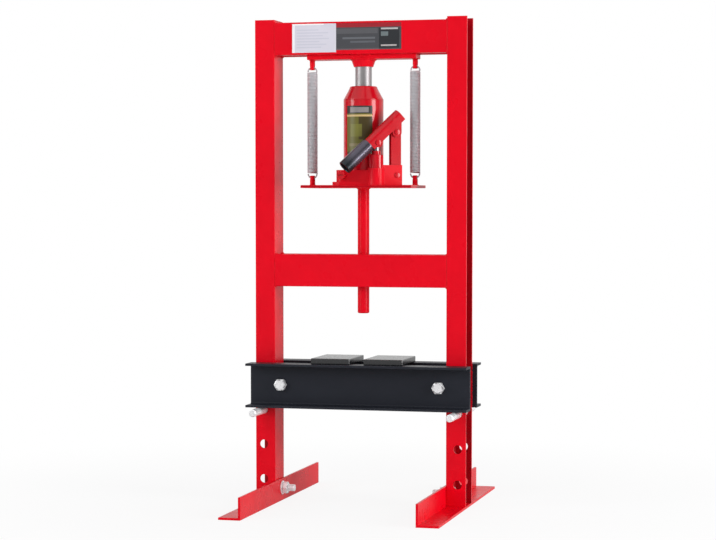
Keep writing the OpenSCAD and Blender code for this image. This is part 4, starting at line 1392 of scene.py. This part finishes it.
def beads(name, body, paths, radius, seed, closed=False):
    """Beads of a radius in millimetres along paths, as one piece on a body."""
    piece = grown(path_piece(paths, name + "_line", closed), LAY_BEAD, name,
                  bead_radius=radius * MM, ripple_step=max(STEP_SHARE * radius, LEAST_STEP) * MM,
                  seed=seed, finish=FINISH["red_enamel"])
    return stand_in(piece, body=body, finish="red_enamel")


def ring_path(x, y, z, radius, points=48):
    """Points round a level circle."""
    return [Vector((x + radius * math.cos(a), y + radius * math.sin(a), z))
            for a in (2 * math.pi * k / points for k in range(points))]


def straight(start, end, points=8):
    """Points along a straight line."""
    start, end = Vector(start), Vector(end)
    return [start.lerp(end, k / (points - 1)) for k in range(points)]


# %% Beams to posts
BEAD_INSET = 2.5 * MM
paths = []
for node in ("top_beam_front", "top_beam_rear", "mid_beam_front", "mid_beam_rear"):
    low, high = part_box(node)
    paths += [straight((x, low.y + BEAD_INSET, z), (x, high.y - BEAD_INSET, z))
              for x in (low.x, high.x) for z in (low.z, high.z)]
beads("beam_welds", "frame", paths, radius=2.2, seed=3)

# %% Bar and guide
STITCH, STITCH_SPACING, GUIDE_BEAD_HALF = 34 * MM, 70 * MM, 6 * MM
low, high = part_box("spring_bar")
paths = [straight((x - STITCH / 2, y, high.z), (x + STITCH / 2, y, high.z), 16)
         for y in (low.y, high.y) for x in (-STITCH_SPACING, 0.0, STITCH_SPACING)]
low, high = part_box("rod_guide")
paths += [straight((-GUIDE_BEAD_HALF, y, z), (GUIDE_BEAD_HALF, y, z))
          for y in (low.y, high.y) for z in (low.z, high.z)]
beads("bar_welds", "frame", paths, radius=1.9, seed=5)

# %% Socket, studs and rod
at, radius, _, high_z = upright("ram_socket")
beads("socket_weld", "frame", [ring_path(at.x, at.y, high_z, radius, 72)], radius=1.7, seed=11,
      closed=True)

for name, body, node in (("upper_stud_welds", "frame", "upper_spring_studs"),
                         ("lower_stud_welds", "carriage", "lower_spring_studs")):
    low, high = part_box(node)
    stud_radius, root = (high.y - low.y) / 2, high.z if body == "frame" else low.z
    beads(name, body, [ring_path(side * (high.x - stud_radius), 0, root, stud_radius, 32)
                       for side in (-1, 1)], radius=1.2, seed=13, closed=True)

at, radius, _, high_z = upright("press_rod")
beads("rod_weld", "carriage", [ring_path(at.x, at.y, high_z, radius)], radius=1.9, seed=17,
      closed=True)

# %% [markdown]
# ## Floor
# The press stands on a plain pale floor that runs to the horizon. Near the feet the floor is lit
# like any surface, so the contact shadow stays. Further out its shade fades into the white of the
# background, which keeps the horizon out of the picture.

# %% Floor
FLOOR_HALF, FLOOR_DROP = 14.0, 0.2 * MM
FLOOR_COLOUR, FLOOR_NEAR, FLOOR_FAR = (0.86, 0.86, 0.865, 1), 0.30, 1.10
SHADOW_SHARE, FLOOR_MIRRORED = 0.12, 0.6

floor_mesh = bpy.data.meshes.new("studio_floor")
floor_z = cad_low.z - FLOOR_DROP
floor_mesh.from_pydata([(FLOOR_HALF * x, FLOOR_HALF * y, floor_z)
                        for x, y in ((-1, -1), (1, -1), (1, 1), (-1, 1))], [], [(0, 1, 2, 3)])
floor = bpy.data.objects.new("studio_floor", floor_mesh)
bpy.context.scene.collection.objects.link(floor)

# %% The floor's finish
floor_paint = bpy.data.materials.new("studio_floor")
floor_paint.use_nodes = True
tree = floor_paint.node_tree
tree.nodes.clear()
spot = put(tree, "ShaderNodeVectorMath", {0: place_metres(tree)},
           operation="LENGTH").outputs["Value"]
fade = ramp(tree, spot, FLOOR_NEAR, FLOOR_FAR, 1 - SHADOW_SHARE, 1.0,
            interpolation_type="SMOOTHSTEP")


def mirror_rays(tree, seen):
    """1 for rays that gloss or glass sends out, 0 for the others."""
    return calc(tree, "MAXIMUM", seen["Is Glossy Ray"], seen["Is Transmission Ray"])


seen = put(tree, "ShaderNodeLightPath").outputs
shown = calc(tree, "MAXIMUM", seen["Is Camera Ray"], mirror_rays(tree, seen))
lit = put(tree, "ShaderNodeBsdfDiffuse", {"Color": FLOOR_COLOUR}).outputs[0]
glow = put(tree, "ShaderNodeMix", {0: seen["Is Camera Ray"], 2: FLOOR_MIRRORED, 3: 1.0}).outputs[0]
white = put(tree, "ShaderNodeEmission", {"Color": (1, 1, 1, 1), "Strength": glow}).outputs[0]
mixed = put(tree, "ShaderNodeMixShader", {0: calc(tree, "MULTIPLY", shown, fade), 1: lit, 2: white})
put(tree, "ShaderNodeOutputMaterial", {0: mixed.outputs[0]})
floor_mesh.materials.append(floor_paint)
print("floor at z =", round(floor_z, 4), "white from", FLOOR_FAR, "m out")

# %% [markdown]
# ## Light
# A tall soft light on the right and a weaker one on the left shape the posts and show as streaks
# in the gloss of the jack. A third from the front and a fourth overhead only fill: gloss doesn't
# show them, so that the fronts keep their full colour. The world is white to the camera.
# Reflections see a studio that is white behind and above and darker toward the camera, with one
# narrow dark strip that gives the chrome its core. The world's own light on surfaces is plain and
# even.

# %% World
FILL_LEVEL, FRONT_LEVEL, ROOM_LEVEL = 0.30, 0.42, 0.88
FRONT_Y, ROOM_Y = -0.75, 0.55
LIFT_LOW_Z, LIFT_HIGH_Z, LIFT = 0.2, 0.8, 0.5
STRIP_TURN, STRIP_HALF, STRIP_FADED = math.radians(32), math.radians(5), math.radians(11)
STRIP_LEVEL = 0.05

world = bpy.data.worlds.new("studio")
bpy.context.scene.world = world
world.use_nodes = True
tree = world.node_tree
tree.nodes.clear()
heading = put(tree, "ShaderNodeSeparateXYZ",
              {0: put(tree, "ShaderNodeTexCoord").outputs["Generated"]}).outputs
depth = ramp(tree, heading["Y"], FRONT_Y, ROOM_Y, FRONT_LEVEL, ROOM_LEVEL,
             interpolation_type="SMOOTHSTEP")
lift = ramp(tree, heading["Z"], LIFT_LOW_Z, LIFT_HIGH_Z, 0.0, LIFT)
open_room = calc(tree, "MINIMUM", calc(tree, "ADD", depth, lift), 1.0)
turn = calc(tree, "ARCTAN2", heading["X"], calc(tree, "MULTIPLY", heading["Y"], -1.0))
off_strip = calc(tree, "ABSOLUTE", calc(tree, "SUBTRACT", turn, STRIP_TURN))
strip = ramp(tree, off_strip, STRIP_HALF, STRIP_FADED, STRIP_LEVEL, 1.0)
mirrored = calc(tree, "MULTIPLY", open_room, strip)
seen = put(tree, "ShaderNodeLightPath").outputs
level = put(tree, "ShaderNodeMix",
            {0: mirror_rays(tree, seen), 2: FILL_LEVEL, 3: mirrored}).outputs[0]
level = put(tree, "ShaderNodeMix", {0: seen["Is Camera Ray"], 2: level, 3: 1.0}).outputs[0]
put(tree, "ShaderNodeOutputWorld",
    {0: put(tree, "ShaderNodeBackground", {"Color": (1, 1, 1, 1), "Strength": level}).outputs[0]})
print("world: fill", FILL_LEVEL, "and reflections from", FRONT_LEVEL, "in front to 1.0 above")

# %% Soft lights
def soft_light(name, spot, aim, size, watts, mirrored=True):
    """An area light that looks at a point. Where mirrored is False, gloss does not show it."""
    data = bpy.data.lights.new(name, "AREA")
    data.shape, data.size, data.size_y, data.energy = "RECTANGLE", size[0], size[1], watts
    lamp = bpy.data.objects.new(name, data)
    lamp.visible_glossy = mirrored
    lamp.location = spot
    lamp.rotation_euler = (Vector(aim) - Vector(spot)).to_track_quat("-Z", "Y").to_euler()
    bpy.context.scene.collection.objects.link(lamp)
    print(name, "of", watts, "W at", [round(c, 2) for c in spot])


press_middle = (cad_low + cad_high) / 2
soft_light("right_light", (2.5, -0.65, 0.6), press_middle, (1.15, 2.3), 74)
soft_light("left_light", (-2.6, -1.9, 1.2), press_middle, (1.1, 1.8), 38)
soft_light("front_light", (-0.9, -4.1, 1.9), press_middle, (1.6, 1.4), 36, mirrored=False)
soft_light("top_light", (0.2, 0.6, 2.6), press_middle, (1.6, 1.6), 12, mirrored=False)

# %% [markdown]
# ## Last lines
# The visual model has to stay inside the measured model's box.

# %% View settings
bpy.context.scene.view_settings.view_transform = "Standard"
